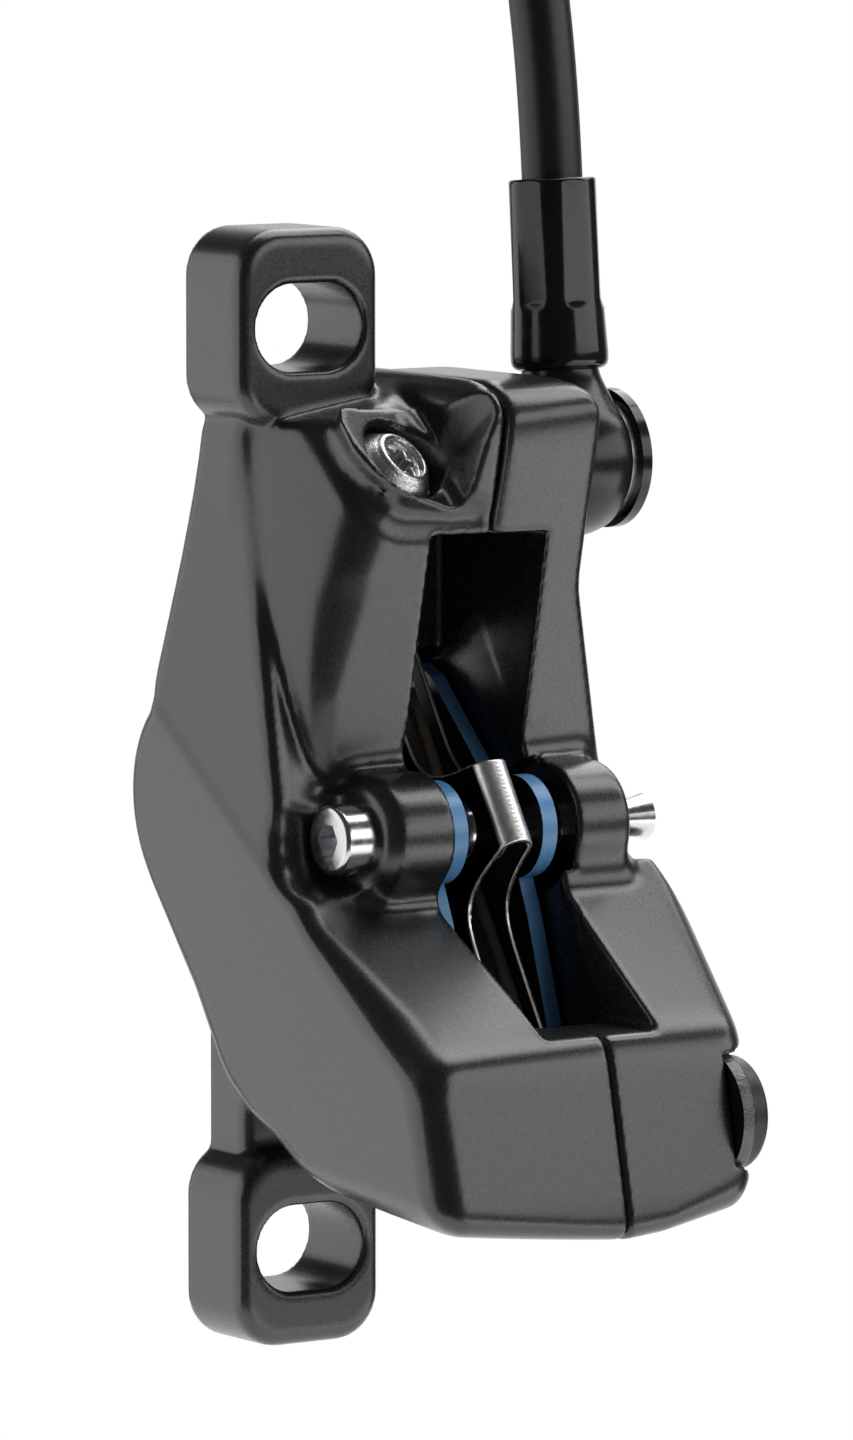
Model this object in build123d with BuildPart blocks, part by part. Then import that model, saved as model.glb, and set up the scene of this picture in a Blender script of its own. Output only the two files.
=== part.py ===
from build123d import *
from math import cos, dist, pi, radians, sin, tan
import os

os.makedirs("parts", exist_ok=True)

# Hydraulic disc brake caliper for a bicycle: two forged halves bolted together over the
# edge of the disc, four pistons, two pads on a pin with a sheet spring, and the hose.
# The origin is midway between the two mounting bolts, on the mounting face.
# X runs along the wheel axle, from the outboard to the inboard half, Y into the fork, Z up.
# Values called across are distances from the disc's middle plane, whichever half they are on.
# All sizes are in millimetres.

# Mounting ears
post_spacing = 74.2
slot_width = 7.0
slot_length = 10.2
ear_width = 13.4
ear_thickness = 8.6
ear_margin = 4.4
ear_corner = 3.6
neck_width = 9.5
neck_thickness = 5.9
disc_offset = 10.0

# Disc that the caliper grips
disc_radius = 90.0
disc_thickness = 2.3
disc_clearance = 0.25
rim_clearance = 2.0
slot_half_width = 2.6

# Pads
pad_angle = 32.0
pad_pin_y = -17.4
pad_pin_z = -3.0
pin_to_pad = 11.6
pad_half_length = 17.8
pad_outer_edge = 7.3
pad_inner_edge = -8.2
pad_neck_half = 5.4
pad_ring_radius = 4.15
pad_play = 0.3
lining_thickness = 2.2
plate_thickness = 1.4
pocket_play = 0.3

# Pistons and their bores
piston_radius = 7.5
piston_length = 8.8
piston_spread = 8.9
piston_cup_radius = 5.6
piston_cup_depth = 6.2
running_clearance = 0.05
bore_wall = 2.6
bore_end_space = 1.0
seal_width = 2.2
seal_depth = 1.05
seal_inset = 3.2

# Pad pin
pin_radius = 2.0
pin_head_radius = 2.85
pin_head_length = 3.4
pin_boss_radius = 5.0
pin_boss_outboard = 10.9
pin_boss_inboard = 12.0
pin_clearance = 0.08
pin_waist_radius = 1.1
pin_flare_length = 3.0
pin_flare_radius = 1.9
pin_counterbore_radius = 5.3
pin_counterbore = 1.3
clip_thickness = 0.8
clip_radius = 3.15

# Pad spring
spring_sheet = 0.4
spring_crest_radius = 1.6
spring_crest_rise = 5.4
spring_crest_half_length = 3.6
spring_wing_across = 1.8
spring_wing_low = 7.2
spring_wing_reach = 17.4
spring_pin_clearance = 0.35
spring_wing_edge = [
    (17.4, 8.6),
    (12.1, 9.0),
    (8.6, 9.2),
    (6.3, 9.8),
    (4.9, 11.2),
    (4.2, 12.8),
    (3.7, 14.6),
]

# Caliper body, seen from the side
bridge_top = 33.3
bridge_front = -22.2
bridge_foot = -20.0
bridge_bow_z = 27.8
window_top = 20.9
window_bottom = -17.7
waist_y = -17.0
waist_z = 4.8
waist_foot_y = -15.4
waist_foot_z = 1.0
ramp_y = -16.4
ramp_z = -3.6
nose_lip_y = -35.8
nose_front = -39.2
nose_bottom = -33.8
bridge_rear = 1.8
bridge_rear_z = 18.4
post_side_z = 29.5

# Caliper body, seen from the front
outboard_width = 17.9
shoulder_width = 14.9
foot_width = 16.9
inboard_width = 17.6
inboard_nose_width = 12.4
inboard_shoulder_width = 9.5
inboard_shoulder_z = 15.8
inboard_waist_width = 14.3
inboard_hip_width = 15.2
inboard_bridge_round = 3.5
banjo_seat = 8.0
column_foot = 1.6
column_round = 3.6

# Bolts that hold the halves together
lower_bolt_radius = 2.5
bolt_clearance = 0.3
lower_bolt_y = -33.6
lower_bolt_z = -25.0
lower_head_radius = 5.25
lower_head_height = 1.3
lower_key = 2.9
lower_cap_radius = 4.6
lower_cap_height = 1.8
lower_seat = 11.0
upper_bolt_y = -3.2
upper_bolt_z = 25.0
upper_bolt_radius = 2.0
upper_head_radius = 3.3
upper_head_height = 3.6
upper_key = 1.7
bolt_reach = 12.0
thread_clearance = 0.05

# Bleed screw
bleed_across = -6.5
bleed_y = -16.6
bleed_z = 27.0
bleed_x_dir = 0.27
bleed_y_dir = -0.70
bleed_z_dir = 0.66
bleed_pocket_side = 3.8
bleed_pocket_rise = 5.3
bleed_head_radius = 3.4
bleed_head_height = 1.5
bleed_shank_radius = 2.0
bleed_shank_length = 5.0

# Banjo and hose
banjo_y = -12.4
banjo_z = 25.8
banjo_eye_radius = 5.6
banjo_eye_width = 6.8
eye_round = 3.1
banjo_neck_radius = 3.2
banjo_bore_radius = 3.0
banjo_lean = 4.3
washer_thickness = 0.5
washer_radius = 4.9
banjo_bolt_radius = 2.5
banjo_bolt_flange = 5.65
banjo_bolt_flange_height = 0.9
banjo_bolt_dome_radius = 3.2
banjo_bolt_dome_height = 1.0
banjo_bolt_hex = 4.0
banjo_bolt_reach = 6.3
sleeve_low = 7.3
sleeve_length = 15.4
sleeve_low_radius = 3.9
sleeve_top_radius = 3.65
sleeve_flute_depth = 0.35
hose_radius = 2.5

# Coil of the hose that is put away, and the fitting on its far end
coil_mid_radius = 27.5
coil_quarters = 17
coil_climb_start = 8
coil_pitch = 5.5
coil_lead = 5.0
tie_thickness = 0.8
tie_width = 5.0
tie_play = 0.4
tail_length = 46.0
boot_radius = 4.4
boot_length = 15.0
nut_radius = 3.9
nut_length = 10.0
nut_hex = 8.0
nut_hex_length = 4.0
olive_radius = 3.2
olive_length = 3.5
insert_flange_radius = 2.4
insert_flange = 1.0
insert_nose_radius = 1.5
insert_nose = 2.5
insert_shank_radius = 1.1
insert_shank = 8.0

# Fluid ways
passage_radius = 0.8
link_radius = 0.5
crossover_groove_radius = 2.9
crossover_groove_depth = 1.2
seal_play = 0.04

# Worked out from the sizes above
far = 60.0
pad_across = disc_thickness / 2 + disc_clearance
plate_across = pad_across + lining_thickness
pad_back = plate_across + plate_thickness
pocket_across = pad_back + pocket_play
bore_radius = piston_radius + running_clearance
bore_end = pad_back + piston_length + bore_end_space
out_y = -cos(radians(pad_angle))
out_z = sin(radians(pad_angle))
pad_y = pad_pin_y - pin_to_pad * out_y
pad_z = pad_pin_z - pin_to_pad * out_z
disc_y = pad_y - (disc_radius - pin_to_pad + 3.5) * out_y
disc_z = pad_z - (disc_radius - pin_to_pad + 3.5) * out_z
ramp_slope = 0.74
ear_z = post_spacing / 2
ear_height = slot_width + 2 * ear_margin


def beside_disc(across):
    """The plane parallel to the disc that lies across mm inboard of its middle plane."""
    return Plane(origin=(disc_offset + across, 0, 0), x_dir=(0, 1, 0), z_dir=(1, 0, 0))


def on_pads(across):
    """The same with its own Y out of the wheel and its X up along the pads."""
    return Plane(
        origin=(disc_offset + across, pad_y, pad_z),
        x_dir=(0, out_z, -out_y),
        z_dir=(1, 0, 0),
    )


def point(across, y, z):
    """A point given by its distance from the disc's middle plane, its Y and its Z."""
    return Vector(disc_offset + across, y, z)


def plane_through(a, b, c):
    """The plane through three points, facing the side from which they run anticlockwise."""
    return Plane(origin=a, x_dir=b - a, z_dir=(b - a).cross(c - a))


def body_profile(plane):
    """The side view that both halves share: top bridge, bores, ramp and nose."""
    lip_z = ramp_z + ramp_slope * (nose_lip_y - ramp_y)
    with BuildSketch(plane) as sketch:
        Polygon(
            (bridge_front + 4.0, bridge_top),
            (bridge_front + 1.4, bridge_top - 1.0),
            (bridge_front, bridge_top - 2.9),
            (bridge_front + 0.2, bridge_bow_z),
            (bridge_foot, window_top),
            (waist_y, waist_z),
            (waist_foot_y, waist_foot_z),
            (ramp_y, ramp_z),
            (nose_lip_y, lip_z),
            (nose_front, nose_bottom),
            (pad_y - 12.0, nose_bottom + 2.6),
            (pad_y - 1.0, pad_z - 16.5),
            (pad_y + 2.0, pad_z),
            (pad_y + 11.6, pad_z + 16.5),
            (bridge_rear, bridge_rear_z),
            (0, post_side_z),
            (-2.5, bridge_top),
            align=None,
        )
    return sketch.sketch


def bore_housing(plane):
    """The side view of the round walls about the two bores."""
    with BuildSketch(plane) as sketch:
        SlotCenterToCenter(2 * piston_spread, 2 * (bore_radius + bore_wall))
    return sketch.sketch


def cut_pad_window():
    """The window in the front, the pocket behind it and the room for the disc's edge."""
    with BuildSketch(beside_disc(0)) as window:
        with Locations((nose_front, (window_top + window_bottom) / 2)):
            Rectangle(
                2 * (pad_y + 3.0 - nose_front),
                window_top - window_bottom,
            )
    with BuildSketch(on_pads(0)) as pocket:
        low = pad_inner_edge - 0.8
        with Locations((0, (low + 14.0) / 2)):
            Rectangle(2 * (pad_half_length + pad_play), 14.0 - low)
    with BuildSketch(beside_disc(0)) as disc_room:
        with Locations((disc_y, disc_z)):
            Circle(disc_radius + rim_clearance)
    extrude(window.sketch, amount=pocket_across, both=True, mode=Mode.SUBTRACT)
    extrude(pocket.sketch, amount=pocket_across, both=True, mode=Mode.SUBTRACT)
    extrude(disc_room.sketch, amount=slot_half_width, both=True, mode=Mode.SUBTRACT)


def cut_bores(side):
    """The two piston bores of one half and the grooves for their seals."""
    with BuildSketch(on_pads(0)) as bores:
        with Locations((-piston_spread, 0), (piston_spread, 0)):
            Circle(bore_radius)
    with BuildSketch(on_pads(side * (pocket_across + seal_inset))) as grooves:
        with Locations((-piston_spread, 0), (piston_spread, 0)):
            Circle(bore_radius + seal_depth)
    extrude(bores.sketch, amount=side * bore_end, mode=Mode.SUBTRACT)
    extrude(grooves.sketch, amount=side * seal_width, mode=Mode.SUBTRACT)


def cut_way(start, end, radius):
    """A drilled way between two points."""
    with BuildSketch(Plane(origin=start, z_dir=end - start)) as way:
        Circle(radius)
    extrude(way.sketch, amount=(end - start).length, mode=Mode.SUBTRACT)


def cut_round(across, y, z, radius, depth):
    """A round hole along X from one distance beside the disc; a negative depth goes outboard."""
    with BuildSketch(beside_disc(across)) as hole:
        with Locations((y, z)):
            Circle(radius)
    extrude(hole.sketch, amount=depth, mode=Mode.SUBTRACT)


def cut_above(plane, across_from, across_to):
    """Takes away what lies above a plane, between two distances from the disc."""
    with BuildPart(mode=Mode.PRIVATE) as above:
        with BuildSketch(beside_disc(across_from)) as side_view:
            Rectangle(4 * far, 4 * far)
        extrude(side_view.sketch, amount=across_to - across_from)
        split(bisect_by=plane, keep=Keep.TOP)
    add(above.part, mode=Mode.SUBTRACT)


# Outboard half, which carries the mounting ears
crease_back = point(-outboard_width, 4.1, 7.4)
crease_front = point(-outboard_width, -14.6, -6.0)
top_lean = point(-shoulder_width, -4.0, post_side_z)
foot_lean = point(-foot_width, -19.0, -30.5)
strip = plane_through(point(-17.7, -15.2, -1.7), point(-11.6, -13.1, -1.7), point(-15.9, -9.3, 18.0))
ramp = plane_through(point(-17.9, -14.6, -6.0), point(-17.9, -36.4, -18.8), point(-5.3, -35.2, -17.6))
belly = plane_through(point(-17.0, -39.0, -31.5), point(-17.0, -19.3, -30.1), point(0, -38.9, -33.8))
top = plane_through(point(-15.2, -8.6, 29.6), point(-3.0, -8.6, 31.9), point(-3.0, 0, 31.9))
flank_up = Plane(origin=point(-14.5, -11.5, 19.0), z_dir=(-0.95, -0.31, 0.187))
flank_middle = Plane(origin=point(-14.6, -11.2, 12.0), z_dir=(-0.95, -0.31, -0.02))
flank_low = Plane(origin=point(-14.3, -11.9, 7.0), z_dir=(-0.9, -0.36, -0.26))
column_face = Plane(origin=point(-5.3, -18.9, 20.3), z_dir=(-0.164, -0.963, -0.215))
bleed_axis = Vector(bleed_x_dir, bleed_y_dir, bleed_z_dir).normalized()
bleed_plane = Plane(
    origin=point(bleed_across, bleed_y, bleed_z),
    x_dir=Vector(1, 0, 0) - bleed_axis * bleed_axis.X,
    z_dir=bleed_axis,
)
roof = plane_through(point(-11.2, -15.1, 30.5), point(-2.9, -12.2, 30.2), point(-4.0, -9.5, 32.4))
bore_back = point(-(bore_end - link_radius), pad_y, pad_z)
upper_bore = Vector(0, out_z, -out_y) * piston_spread

# Column between the window and the ear: a flank in three planes, a round corner and a face
with BuildPart() as column:
    with BuildSketch(Plane.XY.offset(column_foot)):
        with Locations((disc_offset, 0)):
            Rectangle(far, 2 * far, align=(Align.MAX, Align.CENTER))
    extrude(amount=far)
    for side_plane in (flank_up, flank_middle, flank_low, column_face):
        split(bisect_by=side_plane, keep=Keep.BOTTOM)
    front_left = Vector(-0.6, -0.8, 0)
    leaning = column.edges().filter_by(Plane.XY, reverse=True)
    corners = leaning.sort_by(lambda edge: edge.center().dot(front_left))
    fillet(corners[-3:], radius=column_round)

# Space in front of the upper plate and over the ramp, beside the column
with BuildPart() as front_space:
    with BuildSketch(ramp):
        Rectangle(4 * far, 4 * far)
    extrude(amount=2 * far)
    split(bisect_by=strip, keep=Keep.TOP)
    split(bisect_by=beside_disc(0), keep=Keep.BOTTOM)
    add(column.part, mode=Mode.SUBTRACT)

with BuildPart() as outboard_body:
    extrude(body_profile(beside_disc(0)), amount=-outboard_width)
    extrude(bore_housing(on_pads(0)), amount=-outboard_width)
    split(bisect_by=plane_through(crease_back, top_lean, crease_front), keep=Keep.TOP)
    split(bisect_by=plane_through(crease_front, foot_lean, crease_back), keep=Keep.TOP)
    split(bisect_by=belly, keep=Keep.BOTTOM)
    add(front_space.part, mode=Mode.SUBTRACT)

    cut_above(top, -far, -6.0)
    cut_above(roof, -far, -2.6)

    # Ears and their necks
    ear_plane = Plane(origin=(0, 0, 0), x_dir=(1, 0, 0), z_dir=(0, -1, 0))
    with BuildSketch(ear_plane) as ears:
        with Locations((0, ear_z), (0, -ear_z)):
            Rectangle(ear_width, ear_height)
        fillet(ears.vertices(), radius=ear_corner)
    extrude(ears.sketch, amount=ear_thickness)
    with BuildSketch(ear_plane) as necks:
        with Locations((neck_width / 2 - ear_width / 2 + 2.2, 0)):
            Rectangle(neck_width, 2 * (ear_z - slot_width / 2 - ear_margin / 2))
    extrude(necks.sketch, amount=neck_thickness)
    with BuildSketch(ear_plane) as slots:
        with Locations((0, ear_z), (0, -ear_z)):
            SlotOverall(slot_length, slot_width)
    extrude(slots.sketch, amount=far, both=True, mode=Mode.SUBTRACT)

    # Pad pin boss, with a seat for the pin's head
    with BuildSketch(beside_disc(-pocket_across)) as boss:
        with Locations((pad_pin_y, pad_pin_z)):
            Circle(pin_boss_radius)
    extrude(boss.sketch, amount=-(pin_boss_outboard - pocket_across))
    cut_round(-pin_boss_outboard, pad_pin_y, pad_pin_z, pin_head_radius + 0.5, -far)

    cut_pad_window()
    cut_bores(-1)
    cut_round(0, pad_pin_y, pad_pin_z, pin_radius + thread_clearance, -far)
    cut_round(0, lower_bolt_y, lower_bolt_z, lower_bolt_radius + thread_clearance, -bolt_reach)
    cut_round(0, upper_bolt_y, upper_bolt_z, upper_bolt_radius + thread_clearance, -bolt_reach)

    # Bleed port: an open scoop, and the threaded hole under it
    with BuildSketch(bleed_plane) as scoop:
        with Locations((bleed_pocket_side, bleed_pocket_rise)):
            Rectangle(far, far, align=(Align.MAX, Align.MAX))
    extrude(scoop.sketch, amount=far, mode=Mode.SUBTRACT)
    with BuildSketch(bleed_plane) as bleed_seat:
        Circle(bleed_head_radius + bolt_clearance)
    extrude(bleed_seat.sketch, amount=-bleed_head_height, mode=Mode.SUBTRACT)
    with BuildSketch(bleed_plane) as bleed_hole:
        Circle(bleed_shank_radius + thread_clearance)
    bleed_depth = bleed_head_height + bleed_shank_length + 1.0
    extrude(bleed_hole.sketch, amount=-bleed_depth, mode=Mode.SUBTRACT)

    # Fluid ways from the parting face to the bores
    cut_round(0, banjo_y, banjo_z, crossover_groove_radius, -crossover_groove_depth)
    cut_round(0, banjo_y, banjo_z, passage_radius, -9.0)
    cut_way(point(-9.0, banjo_y, banjo_z), bore_back + upper_bore, passage_radius)
    cut_way(bore_back + upper_bore, bore_back - upper_bore, link_radius)

# Inboard half, which carries the banjo
with BuildPart() as inboard_housing:
    extrude(bore_housing(on_pads(0)), amount=inboard_width)
    hip_front = point(inboard_hip_width, ramp_y, ramp_z)
    hip_low = point(inboard_hip_width + 0.1, ramp_y - 3.7, ramp_z - 5.3)
    hip_back = point(inboard_width, -5.0, -2.0)
    split(bisect_by=plane_through(hip_front, hip_low, hip_back), keep=Keep.BOTTOM)

with BuildPart() as inboard_body:
    extrude(body_profile(beside_disc(0)), amount=inboard_width)
    front_plane = Plane(origin=(disc_offset, 0, 0), x_dir=(1, 0, 0), z_dir=(0, -1, 0))
    with BuildSketch(front_plane) as front_view:
        Polygon(
            (0, bridge_top),
            (inboard_shoulder_width, bridge_top),
            (inboard_shoulder_width, inboard_shoulder_z),
            (inboard_waist_width, ramp_z),
            (inboard_width, pad_z - 2.0),
            (inboard_width, -far),
            (0, -far),
            align=None,
        )
        top_corner = front_view.vertices().group_by(Axis.Z)[-1].sort_by(Axis.X)[-1]
        fillet(top_corner, radius=inboard_bridge_round)
    extrude(front_view.sketch, amount=far, both=True, mode=Mode.INTERSECT)
    side_back = point(inboard_width, pad_y + 2.5, pad_z)
    side_front = point(inboard_nose_width, nose_front, pad_z)
    side_up = side_back + Vector(0, 0, 10)
    split(bisect_by=plane_through(side_back, side_up, side_front), keep=Keep.BOTTOM)
    add(inboard_housing.part)

    # Pad pin boss
    with BuildSketch(beside_disc(pocket_across)) as far_boss:
        with Locations((pad_pin_y, pad_pin_z)):
            Circle(pin_boss_radius)
    extrude(far_boss.sketch, amount=pin_boss_inboard - pocket_across)
    cut_round(pin_boss_inboard, pad_pin_y, pad_pin_z, clip_radius + 0.6, far)
    cut_round(pocket_across, pad_pin_y, pad_pin_z, pin_counterbore_radius, pin_counterbore)

    cut_pad_window()
    cut_bores(1)
    cut_round(0, pad_pin_y, pad_pin_z, pin_radius + thread_clearance, far)
    cut_round(0, lower_bolt_y, lower_bolt_z, lower_bolt_radius + bolt_clearance, far)
    cut_round(lower_seat, lower_bolt_y, lower_bolt_z, lower_head_radius + bolt_clearance, far)
    cut_round(0, upper_bolt_y, upper_bolt_z, upper_bolt_radius + bolt_clearance, far)

    # Banjo seat and fluid ways
    with BuildSketch(beside_disc(banjo_seat)) as seat:
        with Locations((banjo_y, banjo_z)):
            Circle(banjo_eye_radius + 0.8)
            Rectangle(
                2 * (banjo_eye_radius + 0.8),
                far,
                align=(Align.CENTER, Align.MIN),
            )
    extrude(seat.sketch, amount=far, mode=Mode.SUBTRACT)
    cut_round(banjo_seat, banjo_y, banjo_z, banjo_bolt_radius + thread_clearance, -banjo_bolt_reach)
    cut_round(0, banjo_y, banjo_z, passage_radius, banjo_seat)
    bore_port = point(11.6, pad_y, pad_z) + upper_bore
    cut_way(point(6.2, banjo_y, banjo_z - 1.3), bore_port, passage_radius)
    far_bore_back = point(bore_end - link_radius, pad_y, pad_z)
    cut_way(far_bore_back + upper_bore, far_bore_back - upper_bore, link_radius)

# Pistons, all four alike: a cup whose rim pushes on the pad
def piston(side, place):
    """One piston at its place along the pad, on one side of the disc."""
    with BuildPart() as cup:
        with BuildSketch(on_pads(side * pad_back)) as rim:
            with Locations((place, 0)):
                Circle(piston_radius)
        extrude(rim.sketch, amount=side * piston_length)
        fillet(cup.edges().filter_by(GeomType.CIRCLE), radius=0.3)
        with BuildSketch(on_pads(side * pad_back)) as hollow:
            with Locations((place, 0)):
                Circle(piston_cup_radius)
        extrude(hollow.sketch, amount=side * piston_cup_depth, mode=Mode.SUBTRACT)
    return cup


def bore_seal(side, place):
    """The square seal in one bore's groove."""
    with BuildPart() as seal:
        with BuildSketch(on_pads(side * (pocket_across + seal_inset + seal_play))) as ring:
            with Locations((place, 0)):
                Circle(bore_radius + seal_depth - seal_play)
                Circle(bore_radius, mode=Mode.SUBTRACT)
        extrude(ring.sketch, amount=side * (seal_width - 2 * seal_play))
    return seal


# Pads: a steel plate with a ring for the pin, and the lining bonded to it
with BuildSketch(on_pads(0)) as plate_outline:
    with BuildLine():
        Polyline(
            (-pad_half_length, pad_inner_edge + 3.0),
            (-pad_half_length, pad_outer_edge - 1.4),
            (-pad_half_length + 2.0, pad_outer_edge),
            (-pad_neck_half - 1.6, pad_outer_edge + 2.2),
            (-pad_neck_half + 1.6, pin_to_pad - 1.6),
            (pad_neck_half - 1.6, pin_to_pad - 1.6),
            (pad_neck_half + 1.6, pad_outer_edge + 2.2),
            (pad_half_length - 2.0, pad_outer_edge),
            (pad_half_length, pad_outer_edge - 1.4),
            (pad_half_length, pad_inner_edge + 3.0),
            (pad_half_length - 3.0, pad_inner_edge),
            (-pad_half_length + 3.0, pad_inner_edge),
            close=True,
        )
    make_face()
    fillet(plate_outline.vertices(), radius=0.9)
    with Locations((0, pin_to_pad)):
        Circle(pad_ring_radius)
        Circle(pin_radius + pin_clearance, mode=Mode.SUBTRACT)

with BuildSketch(on_pads(0)) as lining_outline:
    with Locations((0, -0.8)):
        Rectangle(2 * pad_half_length - 2.4, 13.6)
    fillet(lining_outline.vertices(), radius=3.0)


def pad_plate(side):
    """The backing plate of one pad."""
    with BuildPart() as plate:
        extrude(plate_outline.sketch, amount=side * pad_back)
        extrude(plate_outline.sketch, amount=side * plate_across, mode=Mode.SUBTRACT)
    return plate


def lining(side):
    """The friction block of one pad, grooved across its middle."""
    with BuildPart() as block:
        extrude(lining_outline.sketch, amount=side * plate_across)
        extrude(lining_outline.sketch, amount=side * pad_across, mode=Mode.SUBTRACT)
        with BuildSketch(on_pads(0)) as groove:
            Rectangle(1.2, far)
        extrude(groove.sketch, amount=side * (pad_across + lining_thickness / 2), mode=Mode.SUBTRACT)
    return block


# Spring between the pads: one sheet bent over the pin, trimmed to a crest and four wings
crest_centre = pin_to_pad + spring_crest_rise - spring_crest_radius
leg_mid = spring_crest_radius - spring_sheet / 2
wing_mid = spring_wing_across + spring_sheet / 2
spring_section = Plane(
    origin=(disc_offset, pad_y, pad_z),
    x_dir=(1, 0, 0),
    z_dir=(0, -out_z, out_y),
)
with BuildPart() as pad_spring:
    with BuildSketch(spring_section) as bend:
        with BuildLine():
            Line((-wing_mid, spring_wing_low), (-leg_mid, crest_centre))
            ThreePointArc((-leg_mid, crest_centre), (0, crest_centre + leg_mid), (leg_mid, crest_centre))
            Line((leg_mid, crest_centre), (wing_mid, spring_wing_low))
        trace(line_width=spring_sheet)
    extrude(bend.sketch, amount=spring_wing_reach, both=True)
    crest_top = (spring_crest_half_length, crest_centre + spring_crest_radius + 0.1)
    half_outline = [(spring_wing_reach, spring_wing_low), *spring_wing_edge, crest_top]
    with BuildSketch(on_pads(0)) as outline:
        Polygon(*half_outline, *[(-along, out) for along, out in reversed(half_outline)], align=None)
    extrude(outline.sketch, amount=far, both=True, mode=Mode.INTERSECT)
    with BuildSketch(on_pads(0)) as pin_room:
        with Locations((0, pin_to_pad)):
            Circle(pin_radius + spring_pin_clearance)
    extrude(pin_room.sketch, amount=far, both=True, mode=Mode.SUBTRACT)

# Pad pin: a cap screw with a plain shank, and beyond its clip an end that flares out
pin_end = pin_boss_inboard + clip_thickness + 0.4
with BuildPart() as pad_pin:
    with BuildSketch(beside_disc(-pin_boss_outboard)) as pin_head:
        with Locations((pad_pin_y, pad_pin_z)):
            Circle(pin_head_radius)
    extrude(pin_head.sketch, amount=-pin_head_length)
    head_rim = pad_pin.edges().filter_by(GeomType.CIRCLE).sort_by(Axis.X)[0]
    fillet(head_rim, radius=0.5)
    with BuildSketch(beside_disc(-pin_boss_outboard)) as pin_shank:
        with Locations((pad_pin_y, pad_pin_z)):
            Circle(pin_radius)
    extrude(pin_shank.sketch, amount=pin_boss_outboard + pin_end)
    with BuildSketch(beside_disc(pin_end)) as pin_waist:
        with Locations((pad_pin_y, pad_pin_z)):
            Circle(pin_waist_radius)
    with BuildSketch(beside_disc(pin_end + pin_flare_length)) as pin_flare:
        with Locations((pad_pin_y, pad_pin_z)):
            Circle(pin_flare_radius)
    loft([pin_waist.sketch, pin_flare.sketch])
    with BuildSketch(beside_disc(-pin_boss_outboard - pin_head_length)) as key_hole:
        with Locations((pad_pin_y, pad_pin_z)):
            RegularPolygon(1.45, 6)
    extrude(key_hole.sketch, amount=2.2, mode=Mode.SUBTRACT)
    with BuildSketch(beside_disc(pin_boss_inboard)) as clip_groove:
        with Locations((pad_pin_y, pad_pin_z)):
            Circle(pin_radius)
            Circle(pin_radius - 0.4, mode=Mode.SUBTRACT)
    extrude(clip_groove.sketch, amount=clip_thickness, mode=Mode.SUBTRACT)

with BuildPart() as pin_clip:
    with BuildSketch(beside_disc(pin_boss_inboard + seal_play)) as clip_ring:
        with Locations((pad_pin_y, pad_pin_z)):
            Circle(clip_radius)
            Circle(pin_radius - 0.35, mode=Mode.SUBTRACT)
            Rectangle(far, 2.4, align=(Align.MAX, Align.CENTER), mode=Mode.SUBTRACT)
    extrude(clip_ring.sketch, amount=clip_thickness - 2 * seal_play)


def bolt(seat, y, z, shank_radius, reach, head_radius, head_height, key, rim):
    """A cap screw along X whose head stands on the seat and whose shank runs outboard."""
    with BuildPart() as screw:
        with BuildSketch(beside_disc(seat)) as head:
            with Locations((y, z)):
                Circle(head_radius)
        extrude(head.sketch, amount=head_height)
        fillet(screw.edges().filter_by(GeomType.CIRCLE).sort_by(Axis.X)[-1], radius=rim)
        with BuildSketch(beside_disc(seat)) as shank:
            with Locations((y, z)):
                Circle(shank_radius)
        extrude(shank.sketch, amount=-(seat + reach))
        with BuildSketch(beside_disc(seat + head_height)) as socket:
            with Locations((y, z)):
                RegularPolygon(key, 6)
        extrude(socket.sketch, amount=-0.7 * head_height, mode=Mode.SUBTRACT)
    return screw


# Bolts through both halves; the lower one has a knurled rim and a plug in its socket
bolt_end = bolt_reach - 0.8
lower_body_bolt = bolt(
    lower_seat,
    lower_bolt_y,
    lower_bolt_z,
    lower_bolt_radius,
    bolt_end,
    lower_head_radius,
    lower_head_height,
    lower_key,
    0.3,
)
upper_body_bolt = bolt(
    inboard_shoulder_width,
    upper_bolt_y,
    upper_bolt_z,
    upper_bolt_radius,
    bolt_end,
    upper_head_radius,
    upper_head_height,
    upper_key,
    0.5,
)
with BuildPart() as lower_bolt_cap:
    with BuildSketch(beside_disc(lower_seat + lower_head_height)) as cap:
        with Locations((lower_bolt_y, lower_bolt_z)):
            Circle(lower_cap_radius)
    extrude(cap.sketch, amount=lower_cap_height)
    fillet(lower_bolt_cap.edges().sort_by(Axis.X)[-1], radius=0.6)
    with BuildSketch(beside_disc(lower_seat + lower_head_height)) as plug:
        with Locations((lower_bolt_y, lower_bolt_z)):
            Circle(2.3)
    extrude(plug.sketch, amount=-0.6 * lower_head_height)

# Bleed screw with its seal
with BuildPart() as bleed_screw:
    with BuildSketch(bleed_plane) as bleed_head:
        Circle(bleed_head_radius)
    extrude(bleed_head.sketch, amount=-(bleed_head_height - seal_play))
    with BuildSketch(bleed_plane) as bleed_shank:
        Circle(bleed_shank_radius)
    extrude(bleed_shank.sketch, amount=-(bleed_head_height + bleed_shank_length))
    with BuildSketch(bleed_plane) as star:
        with PolarLocations(1.3, 6):
            Circle(0.36)
        Circle(1.2)
    extrude(star.sketch, amount=-2.4, mode=Mode.SUBTRACT)
    bleed_groove = bleed_plane.offset(-(bleed_head_height + 2.2))
    with BuildSketch(bleed_groove) as seal_room:
        Circle(bleed_shank_radius)
        Circle(bleed_shank_radius - 0.7, mode=Mode.SUBTRACT)
    extrude(seal_room.sketch, amount=1.2, mode=Mode.SUBTRACT)

with BuildPart() as bleed_screw_seal:
    with BuildSketch(bleed_groove.offset(0.1)) as seal_ring:
        Circle(bleed_shank_radius)
        Circle(bleed_shank_radius - 0.66, mode=Mode.SUBTRACT)
    extrude(seal_ring.sketch, amount=1.0)

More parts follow.
